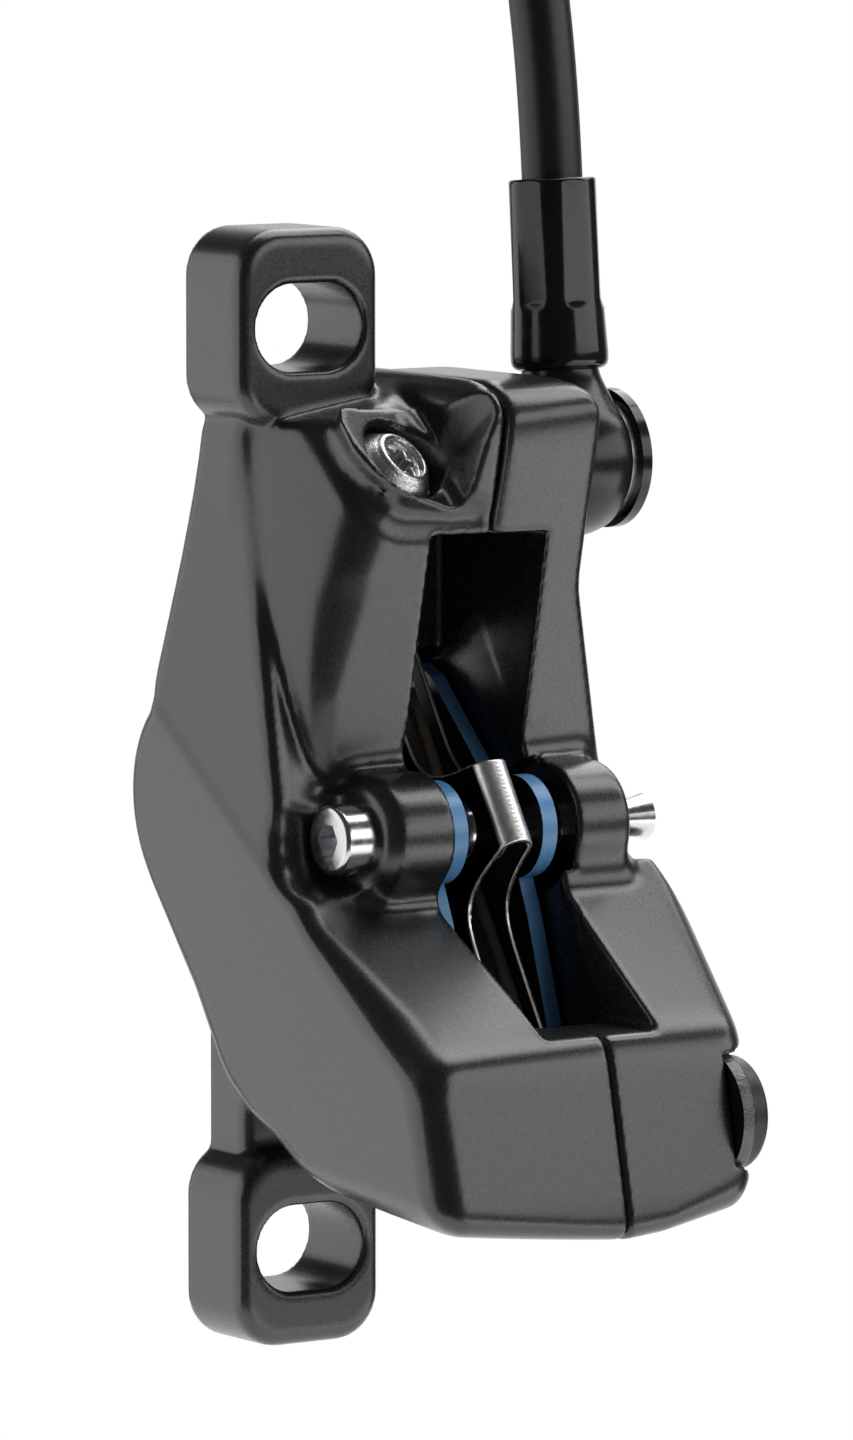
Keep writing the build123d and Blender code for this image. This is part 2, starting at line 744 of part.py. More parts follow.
# Seal about the fluid way where the halves meet
seal_section = (crossover_groove_depth - seal_play) / 2
with BuildPart() as crossover_seal:
    with BuildSketch(beside_disc(-crossover_groove_depth / 2 - seal_section)) as seal_face:
        with Locations((banjo_y, banjo_z)):
            Circle(crossover_groove_radius - 0.1)
            Circle(passage_radius + 0.3, mode=Mode.SUBTRACT)
    extrude(seal_face.sketch, amount=2 * seal_section)
    fillet(crossover_seal.edges().filter_by(GeomType.CIRCLE), radius=0.4)

# Banjo: the eye on the banjo bolt, and the neck that the sleeve is crimped on
eye_start = banjo_seat + washer_thickness
eye_end = eye_start + banjo_eye_width
eye_mid = (eye_start + eye_end) / 2
hose_direction = Vector(0, sin(radians(banjo_lean)), cos(radians(banjo_lean)))
eye_centre = point(eye_mid, banjo_y, banjo_z)
sleeve_foot = eye_centre + hose_direction * sleeve_low
sleeve_plane = Plane(origin=sleeve_foot, x_dir=(1, 0, 0), z_dir=hose_direction)
with BuildPart() as banjo:
    with BuildSketch(beside_disc(eye_start)) as eye:
        with Locations((banjo_y, banjo_z)):
            Circle(banjo_eye_radius)
    extrude(eye.sketch, amount=banjo_eye_width)
    fillet(banjo.edges().filter_by(GeomType.CIRCLE), radius=eye_round)
    with BuildSketch(sleeve_plane) as neck:
        Circle(banjo_neck_radius)
    extrude(neck.sketch, amount=-sleeve_low)
    with BuildSketch(beside_disc(eye_start)) as eye_bore:
        with Locations((banjo_y, banjo_z)):
            Circle(banjo_bore_radius)
    extrude(eye_bore.sketch, amount=banjo_eye_width, mode=Mode.SUBTRACT)
    with BuildSketch(sleeve_plane) as neck_way:
        Circle(passage_radius)
    extrude(neck_way.sketch, amount=-sleeve_low, mode=Mode.SUBTRACT)


def washer(across):
    """A crush washer beside the banjo."""
    with BuildSketch(beside_disc(across)) as ring:
        with Locations((banjo_y, banjo_z)):
            Circle(washer_radius)
            Circle(banjo_bolt_radius + thread_clearance, mode=Mode.SUBTRACT)
    extrude(ring.sketch, amount=washer_thickness)


with BuildPart() as banjo_washers:
    washer(banjo_seat)
    washer(eye_end)

bolt_seat = eye_end + washer_thickness
with BuildPart() as banjo_bolt:
    with BuildSketch(beside_disc(bolt_seat)) as flange:
        with Locations((banjo_y, banjo_z)):
            Circle(banjo_bolt_flange)
    extrude(flange.sketch, amount=banjo_bolt_flange_height)
    with BuildSketch(beside_disc(bolt_seat)) as dome:
        with Locations((banjo_y, banjo_z)):
            Circle(banjo_bolt_dome_radius)
    extrude(dome.sketch, amount=banjo_bolt_flange_height + banjo_bolt_dome_height)
    fillet(banjo_bolt.edges().sort_by(Axis.X)[-1], radius=0.6)
    with BuildSketch(beside_disc(bolt_seat)) as bolt_shank:
        with Locations((banjo_y, banjo_z)):
            Circle(banjo_bolt_radius)
    extrude(bolt_shank.sketch, amount=-(bolt_seat - banjo_seat + banjo_bolt_reach - 0.5))
    bolt_top = bolt_seat + banjo_bolt_flange_height + banjo_bolt_dome_height
    with BuildSketch(beside_disc(bolt_top)) as bolt_socket:
        with Locations((banjo_y, banjo_z)):
            RegularPolygon(banjo_bolt_hex / 2 / cos(pi / 6), 6)
    extrude(bolt_socket.sketch, amount=-2.0, mode=Mode.SUBTRACT)
    with BuildSketch(beside_disc(0)) as bolt_way:
        with Locations((banjo_y, banjo_z)):
            Circle(passage_radius)
    extrude(bolt_way.sketch, amount=eye_mid + passage_radius, mode=Mode.SUBTRACT)
    with BuildSketch(Plane.XY.offset(banjo_z)) as cross_way:
        with Locations((eye_centre.X, banjo_y)):
            Circle(passage_radius)
    extrude(cross_way.sketch, amount=2 * banjo_bolt_radius, both=True, mode=Mode.SUBTRACT)

# Crimp sleeve with six pressed flats
with BuildPart() as crimp_sleeve:
    with BuildSketch(sleeve_plane) as sleeve_low_end:
        Circle(sleeve_low_radius)
    with BuildSketch(sleeve_plane.offset(sleeve_length)) as sleeve_top_end:
        Circle(sleeve_top_radius)
    loft([sleeve_low_end.sketch, sleeve_top_end.sketch])
    chamfer(crimp_sleeve.edges().filter_by(GeomType.CIRCLE), length=0.5)
    flat_across = sleeve_top_radius - sleeve_flute_depth
    with BuildSketch(sleeve_plane.offset(0.27 * sleeve_length)) as flats:
        Circle(sleeve_low_radius + 1.0)
        RegularPolygon(flat_across, 6, major_radius=False, mode=Mode.SUBTRACT)
    extrude(flats.sketch, amount=0.66 * sleeve_length, mode=Mode.SUBTRACT)

# Hose from the sleeve over to the coil, as points to steer by, across, Y and Z
hose_start = sleeve_foot + hose_direction * sleeve_length
hose_route = [
    hose_start,
    hose_start + hose_direction * 8.1,
    point(11.5, -8.2, 68.5),
    point(16.5, -7.0, 82.5),
    point(28.5, -7.0, 93.0),
    point(46.0, -7.0, 99.0),
    point(66.5, -7.0, 100.0),
    point(86.5, -7.0, 100.0),
]


def corner_radii(route):
    """The radius of the arc at each inner point of a route."""
    radii = []
    for before, here, after in zip(route, route[1:], route[2:]):
        shorter = min((here - before).length, (after - here).length)
        turn = radians((here - before).get_angle(after - here))
        radii.append(0.45 * shorter / tan(turn / 2))
    return radii


with BuildPart() as hose:
    with BuildLine() as hose_line:
        FilletPolyline(*hose_route, radius=corner_radii(hose_route))
    with BuildSketch(Plane(origin=hose_start, z_dir=hose_direction)):
        Circle(hose_radius)
    sweep()

# Coil: one unbroken spiral in through the first layer and out through the second
coil_start = hose_route[-1]
coil_centre_x = coil_start.X + coil_lead
layer_step = coil_pitch
coil_turning = coil_climb_start + 1
coil_least_radius = coil_mid_radius - coil_pitch * coil_turning / 8 + 0.3
coil_first_radius = coil_least_radius + coil_pitch * coil_turning / 4
coil_centre_z = coil_start.Z - coil_first_radius


def coil_point(quarter):
    """The hose's centre after so many quarter turns from the top of the coil."""
    radius = coil_least_radius + coil_pitch * abs(quarter - coil_turning) / 4
    turn = pi / 2 * (1 - quarter)
    climb = min(max((quarter - coil_climb_start) / 2, 0), 1)
    return Vector(
        coil_centre_x + radius * cos(turn),
        coil_start.Y - layer_step * climb,
        coil_centre_z + radius * sin(turn),
    )


def coil_tangent(quarter):
    """The hose's direction there; it runs round at both ends and where the spiral turns back."""
    turn = pi / 2 * (1 - quarter)
    radius = (coil_point(quarter) - Vector(coil_centre_x, coil_point(quarter).Y, coil_centre_z)).length
    inwards = 0 if quarter in (0, coil_turning, coil_quarters) else coil_pitch / (2 * pi * radius)
    if quarter > coil_turning:
        inwards = -inwards
    climb = -layer_step / (pi / 2 * radius) if quarter == coil_turning else 0
    return Vector(
        sin(turn) - inwards * cos(turn),
        climb,
        -cos(turn) - inwards * sin(turn),
    ).normalized()


def biarc_joint(start, start_tangent, end, end_tangent):
    """Where two arcs meet that leave one point and reach another along given directions."""
    chord = end - start
    both = start_tangent + end_tangent
    spread = 2 * (1 - start_tangent.dot(end_tangent))
    along = chord.dot(both)
    reach = (-along + (along**2 + spread * chord.dot(chord)) ** 0.5) / spread
    return (start + end + (start_tangent - end_tangent) * reach) * 0.5


coil_exit = coil_point(coil_quarters)
coil_exit_direction = coil_tangent(coil_quarters)
coil_end = coil_exit + coil_exit_direction * coil_lead
with BuildPart() as hose_coil:
    with BuildLine() as coil_line:
        Line(coil_start, coil_point(0))
        for quarter in range(coil_quarters):
            here, there = coil_point(quarter), coil_point(quarter + 1)
            joint = biarc_joint(here, coil_tangent(quarter), there, coil_tangent(quarter + 1))
            first_arc = TangentArc(here, joint, tangent=coil_tangent(quarter))
            TangentArc(joint, there, tangent=first_arc % 1)
        Line(coil_exit, coil_end)
    with BuildSketch(Plane(origin=coil_start, z_dir=(1, 0, 0))):
        Circle(hose_radius)
    sweep()

# Tail of the hose, bored for the insert, and the fitting that goes into the lever
tail_plane = Plane(origin=coil_end, x_dir=(1, 0, 0), z_dir=coil_exit_direction)
with BuildPart() as hose_tail:
    with BuildSketch(tail_plane):
        Circle(hose_radius)
    extrude(amount=tail_length)
    with BuildSketch(tail_plane.offset(tail_length)) as tail_bore:
        Circle(insert_shank_radius + thread_clearance)
    extrude(tail_bore.sketch, amount=-insert_shank - 0.5, mode=Mode.SUBTRACT)


def sleeve_on_tail(start, length, radius):
    """A round piece on the tail, a little wider in its bore than the hose."""
    with BuildPart() as piece:
        with BuildSketch(tail_plane.offset(start)) as ring:
            Circle(radius)
            Circle(hose_radius + thread_clearance, mode=Mode.SUBTRACT)
        extrude(ring.sketch, amount=length)
    return piece


olive_start = tail_length - olive_length - 1.5
nut_start = olive_start - nut_length
boot_start = nut_start - boot_length
with BuildPart() as fitting_boot:
    add(sleeve_on_tail(boot_start, boot_length, boot_radius).part)
    chamfer(fitting_boot.edges().filter_by(GeomType.CIRCLE).sort_by(Axis.Z)[-1], length=1.2)
with BuildPart() as fitting_nut:
    add(sleeve_on_tail(nut_start, nut_length, nut_radius).part)
    with BuildSketch(tail_plane.offset(nut_start)) as hexagon:
        RegularPolygon(nut_hex / 2, 6, major_radius=False)
        Circle(hose_radius + thread_clearance, mode=Mode.SUBTRACT)
    extrude(hexagon.sketch, amount=nut_hex_length)
with BuildPart() as fitting_olive:
    add(sleeve_on_tail(olive_start, olive_length, olive_radius).part)
    chamfer(fitting_olive.edges().filter_by(GeomType.CIRCLE).sort_by(SortBy.RADIUS)[-2:], length=0.5)
with BuildPart() as fitting_insert:
    with BuildSketch(tail_plane.offset(tail_length)) as insert_disc:
        Circle(insert_flange_radius)
    extrude(insert_disc.sketch, amount=insert_flange)
    with BuildSketch(tail_plane.offset(tail_length)) as insert_tip:
        Circle(insert_nose_radius)
    extrude(insert_tip.sketch, amount=insert_flange + insert_nose)
    with BuildSketch(tail_plane.offset(tail_length)) as insert_barb:
        Circle(insert_shank_radius)
    extrude(insert_barb.sketch, amount=-insert_shank)
    with BuildSketch(tail_plane.offset(tail_length)) as insert_way:
        Circle(0.5)
    extrude(insert_way.sketch, amount=far, both=True, mode=Mode.SUBTRACT)

# Tie about the turns at the bottom of the coil
bundle_low = coil_point(coil_climb_start + 2)
bundle_outer = coil_centre_z - coil_point(2).Z + hose_radius + tie_play
bundle_inner = coil_centre_z - bundle_low.Z - hose_radius - tie_play
with BuildPart() as coil_tie:
    with BuildSketch(Plane(origin=(coil_centre_x, 0, 0), x_dir=(0, 1, 0), z_dir=(1, 0, 0))) as band:
        with Locations(
            (coil_start.Y - layer_step / 2, coil_centre_z - (bundle_outer + bundle_inner) / 2)
        ):
            inner_y = layer_step + 2 * (hose_radius + tie_play)
            inner_z = bundle_outer - bundle_inner
            RectangleRounded(inner_y + 2 * tie_thickness, inner_z + 2 * tie_thickness, 2.0)
            RectangleRounded(inner_y, inner_z, 2.0 - tie_thickness, mode=Mode.SUBTRACT)
    extrude(band.sketch, amount=tie_width / 2, both=True)


def least_gap_to_itself(edges, parts=10):
    """The least gap between turns of the coil, on points along its centre."""
    spots = [tuple(edge @ (i / parts)) for edge in edges for i in range(parts)]
    a_turn = 4 * parts
    nearest = min(dist(a, b) for i, a in enumerate(spots) for b in spots[i + a_turn :])
    return nearest - 2 * hose_radius


def length_and_fill(line, tube):
    """The length of a centre line, and its tube's volume against section times length."""
    length = sum(edge.length for edge in line.edges())
    return length, tube.part.volume / (pi * hose_radius**2 * length)


hose_length, hose_fill = length_and_fill(hose_line, hose)
coil_length, coil_fill = length_and_fill(coil_line, hose_coil)
print("radii of the hose's bends", [round(r, 1) for r in corner_radii(hose_route)])
print("least gap of the coil to itself", round(least_gap_to_itself(coil_line.edges()), 2))
print("lengths of hose and coil", round(hose_length, 1), round(coil_length, 1))
print("volumes against section times length", round(hose_fill, 4), round(coil_fill, 4))

pieces = {
    "outboard_body": outboard_body,
    "inboard_body": inboard_body,
    "pad_spring": pad_spring,
    "pad_pin": pad_pin,
    "pin_clip": pin_clip,
    "lower_body_bolt": lower_body_bolt,
    "lower_bolt_cap": lower_bolt_cap,
    "upper_body_bolt": upper_body_bolt,
    "bleed_screw": bleed_screw,
    "bleed_screw_seal": bleed_screw_seal,
    "crossover_seal": crossover_seal,
    "banjo": banjo,
    "banjo_washers": banjo_washers,
    "banjo_bolt": banjo_bolt,
    "crimp_sleeve": crimp_sleeve,
    "hose": hose,
    "hose_coil": hose_coil,
    "hose_tail": hose_tail,
    "coil_tie": coil_tie,
    "fitting_boot": fitting_boot,
    "fitting_nut": fitting_nut,
    "fitting_olive": fitting_olive,
    "fitting_insert": fitting_insert,
}
for side, half in ((-1, "outboard"), (1, "inboard")):
    pieces[half + "_pad_plate"] = pad_plate(side)
    pieces[half + "_pad_lining"] = lining(side)
    for place, level in ((piston_spread, "upper"), (-piston_spread, "lower")):
        pieces[half + "_" + level + "_piston"] = piston(side, place)
        pieces[half + "_" + level + "_seal"] = bore_seal(side, place)

for name, piece in pieces.items():
    piece.part.label = name
    export_step(piece.part, "parts/" + name + ".step")
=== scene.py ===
from math import atan, cos, pi, radians, sin, tan

import bpy
import numpy as np
import openvdb
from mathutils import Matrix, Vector


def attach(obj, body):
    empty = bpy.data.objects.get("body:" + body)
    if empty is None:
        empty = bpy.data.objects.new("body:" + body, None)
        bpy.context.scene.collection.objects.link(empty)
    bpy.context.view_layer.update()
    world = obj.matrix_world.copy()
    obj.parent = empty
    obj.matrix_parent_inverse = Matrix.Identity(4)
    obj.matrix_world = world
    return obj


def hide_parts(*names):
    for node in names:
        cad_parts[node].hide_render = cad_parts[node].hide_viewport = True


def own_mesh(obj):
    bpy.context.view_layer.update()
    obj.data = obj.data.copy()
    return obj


# Bicycle disc brake caliper. Lengths are in millimetres until they reach Blender.
# Across is the distance from the disc's middle plane, as in the part's source.
MM = 0.001
MICRON = 0.001 * MM
DISC_OFFSET = 10.0

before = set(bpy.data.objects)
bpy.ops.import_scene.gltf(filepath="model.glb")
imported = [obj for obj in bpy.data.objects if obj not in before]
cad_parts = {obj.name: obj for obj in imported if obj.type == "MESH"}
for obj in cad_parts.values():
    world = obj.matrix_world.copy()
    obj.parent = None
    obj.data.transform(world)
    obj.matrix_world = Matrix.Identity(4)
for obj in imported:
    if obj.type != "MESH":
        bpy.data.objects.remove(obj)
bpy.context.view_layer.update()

# Sizes that several pieces share, most of them the same as in the part's source
PIN_Y, PIN_Z = -17.4, -3.0
PIN_HOLE_RADIUS = 2.05
PIN_BOSS_RADIUS = 5.0
PAD_ANGLE = radians(32.0)
OUT_Y, OUT_Z = -cos(PAD_ANGLE), sin(PAD_ANGLE)
PIN_TO_PAD = 11.6
PAD_Y, PAD_Z = PIN_Y - PIN_TO_PAD * OUT_Y, PIN_Z - PIN_TO_PAD * OUT_Z
PISTON_SPREAD = 8.9
BORE_RADIUS, BORE_WALL, BORE_DEPTH = 7.55, 2.6, 14.8
DISC_TO_PAD = 81.9
DISC_ROOM_RADIUS, DISC_ROOM = 92.0, 2.6
POCKET = 5.3
POCKET_HALF_LENGTH, POCKET_BACK, POCKET_FRONT = 18.1, -9.0, 14.0
WINDOW_TOP, WINDOW_BOTTOM, WINDOW_BACK = 20.9, -17.7, -4.56
BRIDGE_TOP = 33.3
PARTING_GAP = 0.02
MOUNT_FACE = 0.0
EAR_Z, EAR_THICKNESS = 37.1, 8.6
EAR_HALF_WIDTH, EAR_HALF_HEIGHT, EAR_CORNER = 6.7, 7.9, 3.9
SLOT_RADIUS, SLOT_HALF_TRAVEL = 3.5, 1.6
BLEED = (-6.5, -16.6, 27.0)
BLEED_WAY = (0.27, -0.70, 0.66)
BLEED_THREAD_RADIUS = 2.05
LOWER_BOLT_Y, LOWER_BOLT_Z = -33.6, -25.0
BANJO_Y, BANJO_Z = -12.4, 25.8
EYE_CENTRE = Vector((11.9, BANJO_Y, BANJO_Z))
SLEEVE_WAY = Vector((0, sin(radians(4.3)), cos(radians(4.3))))
SLEEVE_START, SLEEVE_LENGTH = 7.3, 15.4
HOSE_RADIUS = 2.5
FAR = 60.0
RIGHT = (1, 0, 0)


def row(across, y, z):
    """A point in the part's frame, in metres."""
    return Vector((across + DISC_OFFSET, y, z)) * MM


def in_scene(name, data):
    """A new object of the scene that shows this data."""
    made = bpy.data.objects.new(name, data)
    bpy.context.scene.collection.objects.link(made)
    return made


# Camera, where the photographer stood
CAMERA_WAY = Vector((-0.556, -0.8245, 0.1045)).normalized()
CAMERA_TARGET = Vector((3.4, -20.0, 6.4)) * MM
CAMERA_DISTANCE = 0.8
SENSOR_SIZE = 36.0
VIEW_ANGLE = radians(8.17)


def add_camera():
    """The camera that sees what the photo shows."""
    data = bpy.data.cameras.new("camera")
    camera = in_scene("camera", data)
    camera.location = CAMERA_TARGET + CAMERA_WAY * CAMERA_DISTANCE
    camera.rotation_euler = (-CAMERA_WAY).to_track_quat("-Z", "Y").to_euler()
    data.sensor_fit = "VERTICAL"
    data.sensor_height = SENSOR_SIZE
    data.sensor_width = SENSOR_SIZE
    data.lens = SENSOR_SIZE / 2 / tan(VIEW_ANGLE / 2)
    bpy.context.scene.camera = camera


add_camera()


# Shader nodes
class Graph:
    """The nodes of a material or of the world, with short ways to add to them."""

    def __init__(self, owner):
        owner.use_nodes = True
        self.nodes, self.links = owner.node_tree.nodes, owner.node_tree.links

    def math(self, operation, *values):
        """A Math node fed with sockets or numbers."""
        made = self.nodes.new("ShaderNodeMath")
        made.operation = operation
        for socket, value in zip(made.inputs, values):
            if isinstance(value, (int, float)):
                socket.default_value = value
            else:
                self.links.new(value, socket)
        return made.outputs["Value"]

    def rescaled(self, source, low, high, new_low=0.0, new_high=1.0):
        """A socket's value, stretched from one range to another and held within it."""
        made = self.nodes.new("ShaderNodeMapRange")
        made.inputs["From Min"].default_value = low
        made.inputs["From Max"].default_value = high
        made.inputs["To Min"].default_value = new_low
        made.inputs["To Max"].default_value = new_high
        self.links.new(source, made.inputs["Value"])
        return made.outputs["Result"]

    def noise(self, scale, detail, roughness=0.55):
        """Noise over the object's own coordinates."""
        where = self.nodes.new("ShaderNodeTexCoord")
        made = self.nodes.new("ShaderNodeTexNoise")
        made.inputs["Scale"].default_value = scale
        made.inputs["Detail"].default_value = detail
        made.inputs["Roughness"].default_value = roughness
        self.links.new(where.outputs["Object"], made.inputs["Vector"])
        return made.outputs["Fac"]

    def colours(self, source, dark, light):
        """A colour between two, chosen by noise."""
        made = self.nodes.new("ShaderNodeValToRGB")
        for stop, position, colour in zip(made.color_ramp.elements, NOISE_RANGE, (dark, light)):
            stop.position = position
            stop.color = (*colour, 1)
        self.links.new(source, made.inputs["Fac"])
        return made.outputs["Color"]

    def relief(self, source, height):
        """The surface's direction with a relief of this height in metres."""
        made = self.nodes.new("ShaderNodeBump")
        made.inputs["Distance"].default_value = height
        made.inputs["Strength"].default_value = 1.0
        self.links.new(source, made.inputs["Height"])
        return made.outputs["Normal"]


# Materials: grain is the noise's scale, and depth is its relief in microns
NOISE_RANGE = (0.3, 0.7)
CLOUD_SCALE, CLOUD_DETAIL = 60.0, 4.0
GRAIN_DETAIL, GRAIN_ROUGHNESS = 2.0, 0.7
ROUGHNESS_CHANGE = 0.05


def grained(name, dark, light, rough, grain, depth, metallic=0.0):
    """A surface with clouds in its colour, and a fine grain in its roughness and its relief."""
    material = bpy.data.materials.new(name)
    graph = Graph(material)
    sockets = graph.nodes["Principled BSDF"].inputs
    clouds = graph.noise(CLOUD_SCALE, CLOUD_DETAIL)
    fine = graph.noise(grain, GRAIN_DETAIL, GRAIN_ROUGHNESS)
    roughness = graph.rescaled(fine, *NOISE_RANGE, rough - ROUGHNESS_CHANGE, rough + ROUGHNESS_CHANGE)
    graph.links.new(graph.colours(clouds, dark, light), sockets["Base Color"])
    graph.links.new(roughness, sockets["Roughness"])
    graph.links.new(graph.relief(fine, depth * MICRON), sockets["Normal"])
    sockets["Metallic"].default_value = metallic
    return material


def paint_shade_on_faces(material):
    """Paints near-black shade on a sheet's two faces, which look across the disc, and leaves its edges in
    the sheet's own bright colour.
    """
    still_edge, full_face = 0.85, 0.97
    # The near-black colour of the painted shade on the faces
    black = (0.012, 0.012, 0.013, 1)
    graph = Graph(material)
    base_colour = graph.nodes["Principled BSDF"].inputs["Base Color"]
    bright = base_colour.links[0].from_socket
    surface = graph.nodes.new("ShaderNodeNewGeometry")
    split = graph.nodes.new("ShaderNodeSeparateXYZ")
    graph.links.new(surface.outputs["Normal"], split.inputs["Vector"])
    across = graph.math("ABSOLUTE", split.outputs["X"])
    mix = graph.nodes.new("ShaderNodeMix")
    mix.data_type = "RGBA"
    graph.links.new(graph.rescaled(across, still_edge, full_face), mix.inputs["Factor"])
    graph.links.new(bright, mix.inputs["A"])
    mix.inputs["B"].default_value = black
    graph.links.new(mix.outputs["Result"], base_colour)


# Forged and anodised halves, whose skin mirrors more than plastic does
anodised = grained(
    "anodised", (0.009, 0.009, 0.0095), (0.013, 0.013, 0.0135), rough=0.29, grain=4500, depth=3
)
ANODISED_IOR = 1.76
anodised.node_tree.nodes["Principled BSDF"].inputs["IOR"].default_value = ANODISED_IOR

# Bright steels
steel = grained(
    "polished_steel", (0.62, 0.62, 0.64), (0.72, 0.72, 0.73), rough=0.2, grain=1800, depth=2, metallic=1.0
)
sparkling = grained(
    "blasted_steel", (0.5, 0.5, 0.5), (0.8, 0.8, 0.8), rough=0.3, grain=5200, depth=30, metallic=1.0
)
knurled = grained(
    "knurled_steel",
    (0.015, 0.015, 0.015),
    (0.16, 0.16, 0.16),
    rough=0.35,
    grain=2400,
    depth=100,
    metallic=1.0,
)

# Sheets with shade painted on their faces: the spring, bright at its edges, and the blue backing plates
spring_sheet = grained(
    "spring_steel", (0.82, 0.81, 0.8), (0.95, 0.94, 0.93), rough=0.36, grain=2200, depth=3, metallic=1.0
)
blue_steel = grained("blue_steel", (0.12, 0.33, 0.64), (0.16, 0.4, 0.72), rough=0.3, grain=2600, depth=4)
paint_shade_on_faces(spring_sheet)
paint_shade_on_faces(blue_steel)

# Black fittings, hose, plastic and rubber
black_gloss = grained(
    "sleeve_gloss", (0.005, 0.005, 0.006), (0.009, 0.009, 0.01), rough=0.17, grain=900, depth=2
)
banjo_black = grained(
    "banjo_black", (0.006, 0.006, 0.007), (0.011, 0.011, 0.012), rough=0.24, grain=3000, depth=2
)
jacket = grained(
    "hose_jacket", (0.005, 0.005, 0.0055), (0.009, 0.009, 0.0095), rough=0.38, grain=2200, depth=4
)
plastic = grained(
    "black_plastic", (0.01, 0.01, 0.011), (0.016, 0.016, 0.017), rough=0.4, grain=1500, depth=4
)
rubber = grained("seal_rubber", (0.014, 0.014, 0.014), (0.02, 0.02, 0.02), rough=0.6, grain=1500, depth=6)

# Friction blocks and pistons
lining_stuff = grained(
    "lining", (0.05, 0.042, 0.035), (0.16, 0.13, 0.1), rough=0.75, grain=1400, depth=30, metallic=0.1
)
phenolic = grained("phenolic", (0.05, 0.035, 0.022), (0.075, 0.05, 0.03), rough=0.4, grain=1200, depth=4)

# Other metals
brass = grained("brass", (0.6, 0.42, 0.16), (0.7, 0.5, 0.2), rough=0.3, grain=1500, depth=3, metallic=1.0)
aluminium = grained(
    "aluminium", (0.7, 0.7, 0.7), (0.78, 0.78, 0.78), rough=0.32, grain=1500, depth=3, metallic=1.0
)

# Which material each node of the part has
node_materials = {
    "outboard_body": anodised,
    "inboard_body": anodised,
    "pad_spring": spring_sheet,
    "pad_pin": steel,
    "pin_clip": steel,
    "lower_body_bolt": knurled,
    "lower_bolt_cap": plastic,
    "upper_body_bolt": steel,
    "bleed_screw": steel,
    "bleed_screw_seal": rubber,
    "crossover_seal": rubber,
    "banjo": banjo_black,
    "banjo_washers": aluminium,
    "banjo_bolt": black_gloss,
    "crimp_sleeve": black_gloss,
    "hose": jacket,
    "hose_coil": jacket,
    "hose_tail": jacket,
    "coil_tie": plastic,
    "fitting_boot": rubber,
    "fitting_nut": banjo_black,
    "fitting_olive": brass,
    "fitting_insert": brass,
}
for half in ("outboard", "inboard"):
    node_materials[half + "_pad_plate"] = blue_steel
    node_materials[half + "_pad_lining"] = lining_stuff
    for level in ("upper", "lower"):
        node_materials[half + "_" + level + "_piston"] = phenolic
        node_materials[half + "_" + level + "_seal"] = rubber
for node, material in node_materials.items():
    piece = bpy.data.objects[node]
    piece.data.materials.clear()
    piece.data.materials.append(material)


# Forms: the halves and some small pieces are built as distances on a grid, negative inside, so
# that edges and hollows can be as soft as a forging's, and then turned into a mesh. The last
# number in a call of joined, common or cut is the radius of the rounding
class Block:
    """A box of grid points, with the distance forms that are built on it."""

    def __init__(self, low, high, voxel=0.3):
        self.low = np.array(low, dtype=np.float32)
        self.voxel = voxel
        counts = [int(round((b - a) / voxel)) + 1 for a, b in zip(low, high)]
        axes = [a + voxel * np.arange(n, dtype=np.float32) for a, n in zip(low, counts)]
        self.across = axes[0][:, None, None]
        self.y = axes[1][None, :, None]
        self.z = axes[2][None, None, :]

    def right_of(self, across):
        """The half-space to the right of a place."""
        return across - self.across

    def left_of(self, across):
        """The half-space to the left of a place."""
        return self.across - across

    def behind(self, y):
        """The half-space behind a place, away from the camera."""
        return y - self.y

    def in_front_of(self, y):
        """The half-space in front of a place."""
        return self.y - y

    def plane(self, place, normal):
        """The half-space behind a plane with this outward normal."""
        normal = Vector(normal).normalized()
        return (
            (self.across - place[0]) * normal[0]
            + (self.y - place[1]) * normal[1]
            + (self.z - place[2]) * normal[2]
        )

    def plane_by(self, a, b, c, inside):
        """The half-space behind the plane through three points, on the side of a fourth."""
        a, b, c = Vector(a), Vector(b), Vector(c)
        normal = (b - a).cross(c - a)
        if normal.dot(Vector(inside) - a) > 0:
            normal = -normal
        return self.plane(a, normal)

    def rod(self, place, way, radius):
        """An endless round rod."""
        way = Vector(way).normalized()
        da, dy, dz = self.across - place[0], self.y - place[1], self.z - place[2]
        along = da * way[0] + dy * way[1] + dz * way[2]
        return np.sqrt(np.maximum(da**2 + dy**2 + dz**2 - along**2, 0)) - radius

    def rod_across(self, y, z, radius):
        """An endless round rod across the disc."""
        return self.rod((0, y, z), RIGHT, radius)


def outline_distance(first, second, outline):
    """Distance to a closed outline."""
    first, second = np.broadcast_arrays(first, second)
    nearest = np.full(first.shape, 1e9, dtype=np.float32)
    inside = np.zeros(first.shape, dtype=bool)
    for (ax, ay), (bx, by) in zip(outline, [*outline[1:], outline[0]]):
        ex, ey = bx - ax, by - ay
        share = np.clip(((first - ax) * ex + (second - ay) * ey) / (ex * ex + ey * ey), 0, 1)
        nearest = np.minimum(nearest, (first - ax - share * ex) ** 2 + (second - ay - share * ey) ** 2)
        if ey:
            crosses = (second >= min(ay, by)) & (second < max(ay, by))
            inside ^= crosses & (first < ax + (second - ay) / ey * ex)
    return np.where(inside, -1, 1) * np.sqrt(nearest)


def rectangle_distance(first, second, half_first, half_second, corner=0.0):
    """Distance to a rectangle about the middle, with round corners."""
    past_first = np.abs(first) - (half_first - corner)
    past_second = np.abs(second) - (half_second - corner)
    outside = np.sqrt(np.maximum(past_first, 0) ** 2 + np.maximum(past_second, 0) ** 2)
    return outside + np.minimum(np.maximum(past_first, past_second), 0) - corner


def joined(a, b, radius=0.0):
    """Both forms together, with a hollow fillet where they meet."""
    low = np.minimum(a, b)
    if np.isscalar(radius) and radius <= 0:
        return low
    u, v = np.maximum(radius - a, 0), np.maximum(radius - b, 0)
    return np.maximum(radius, low) - np.sqrt(u * u + v * v)


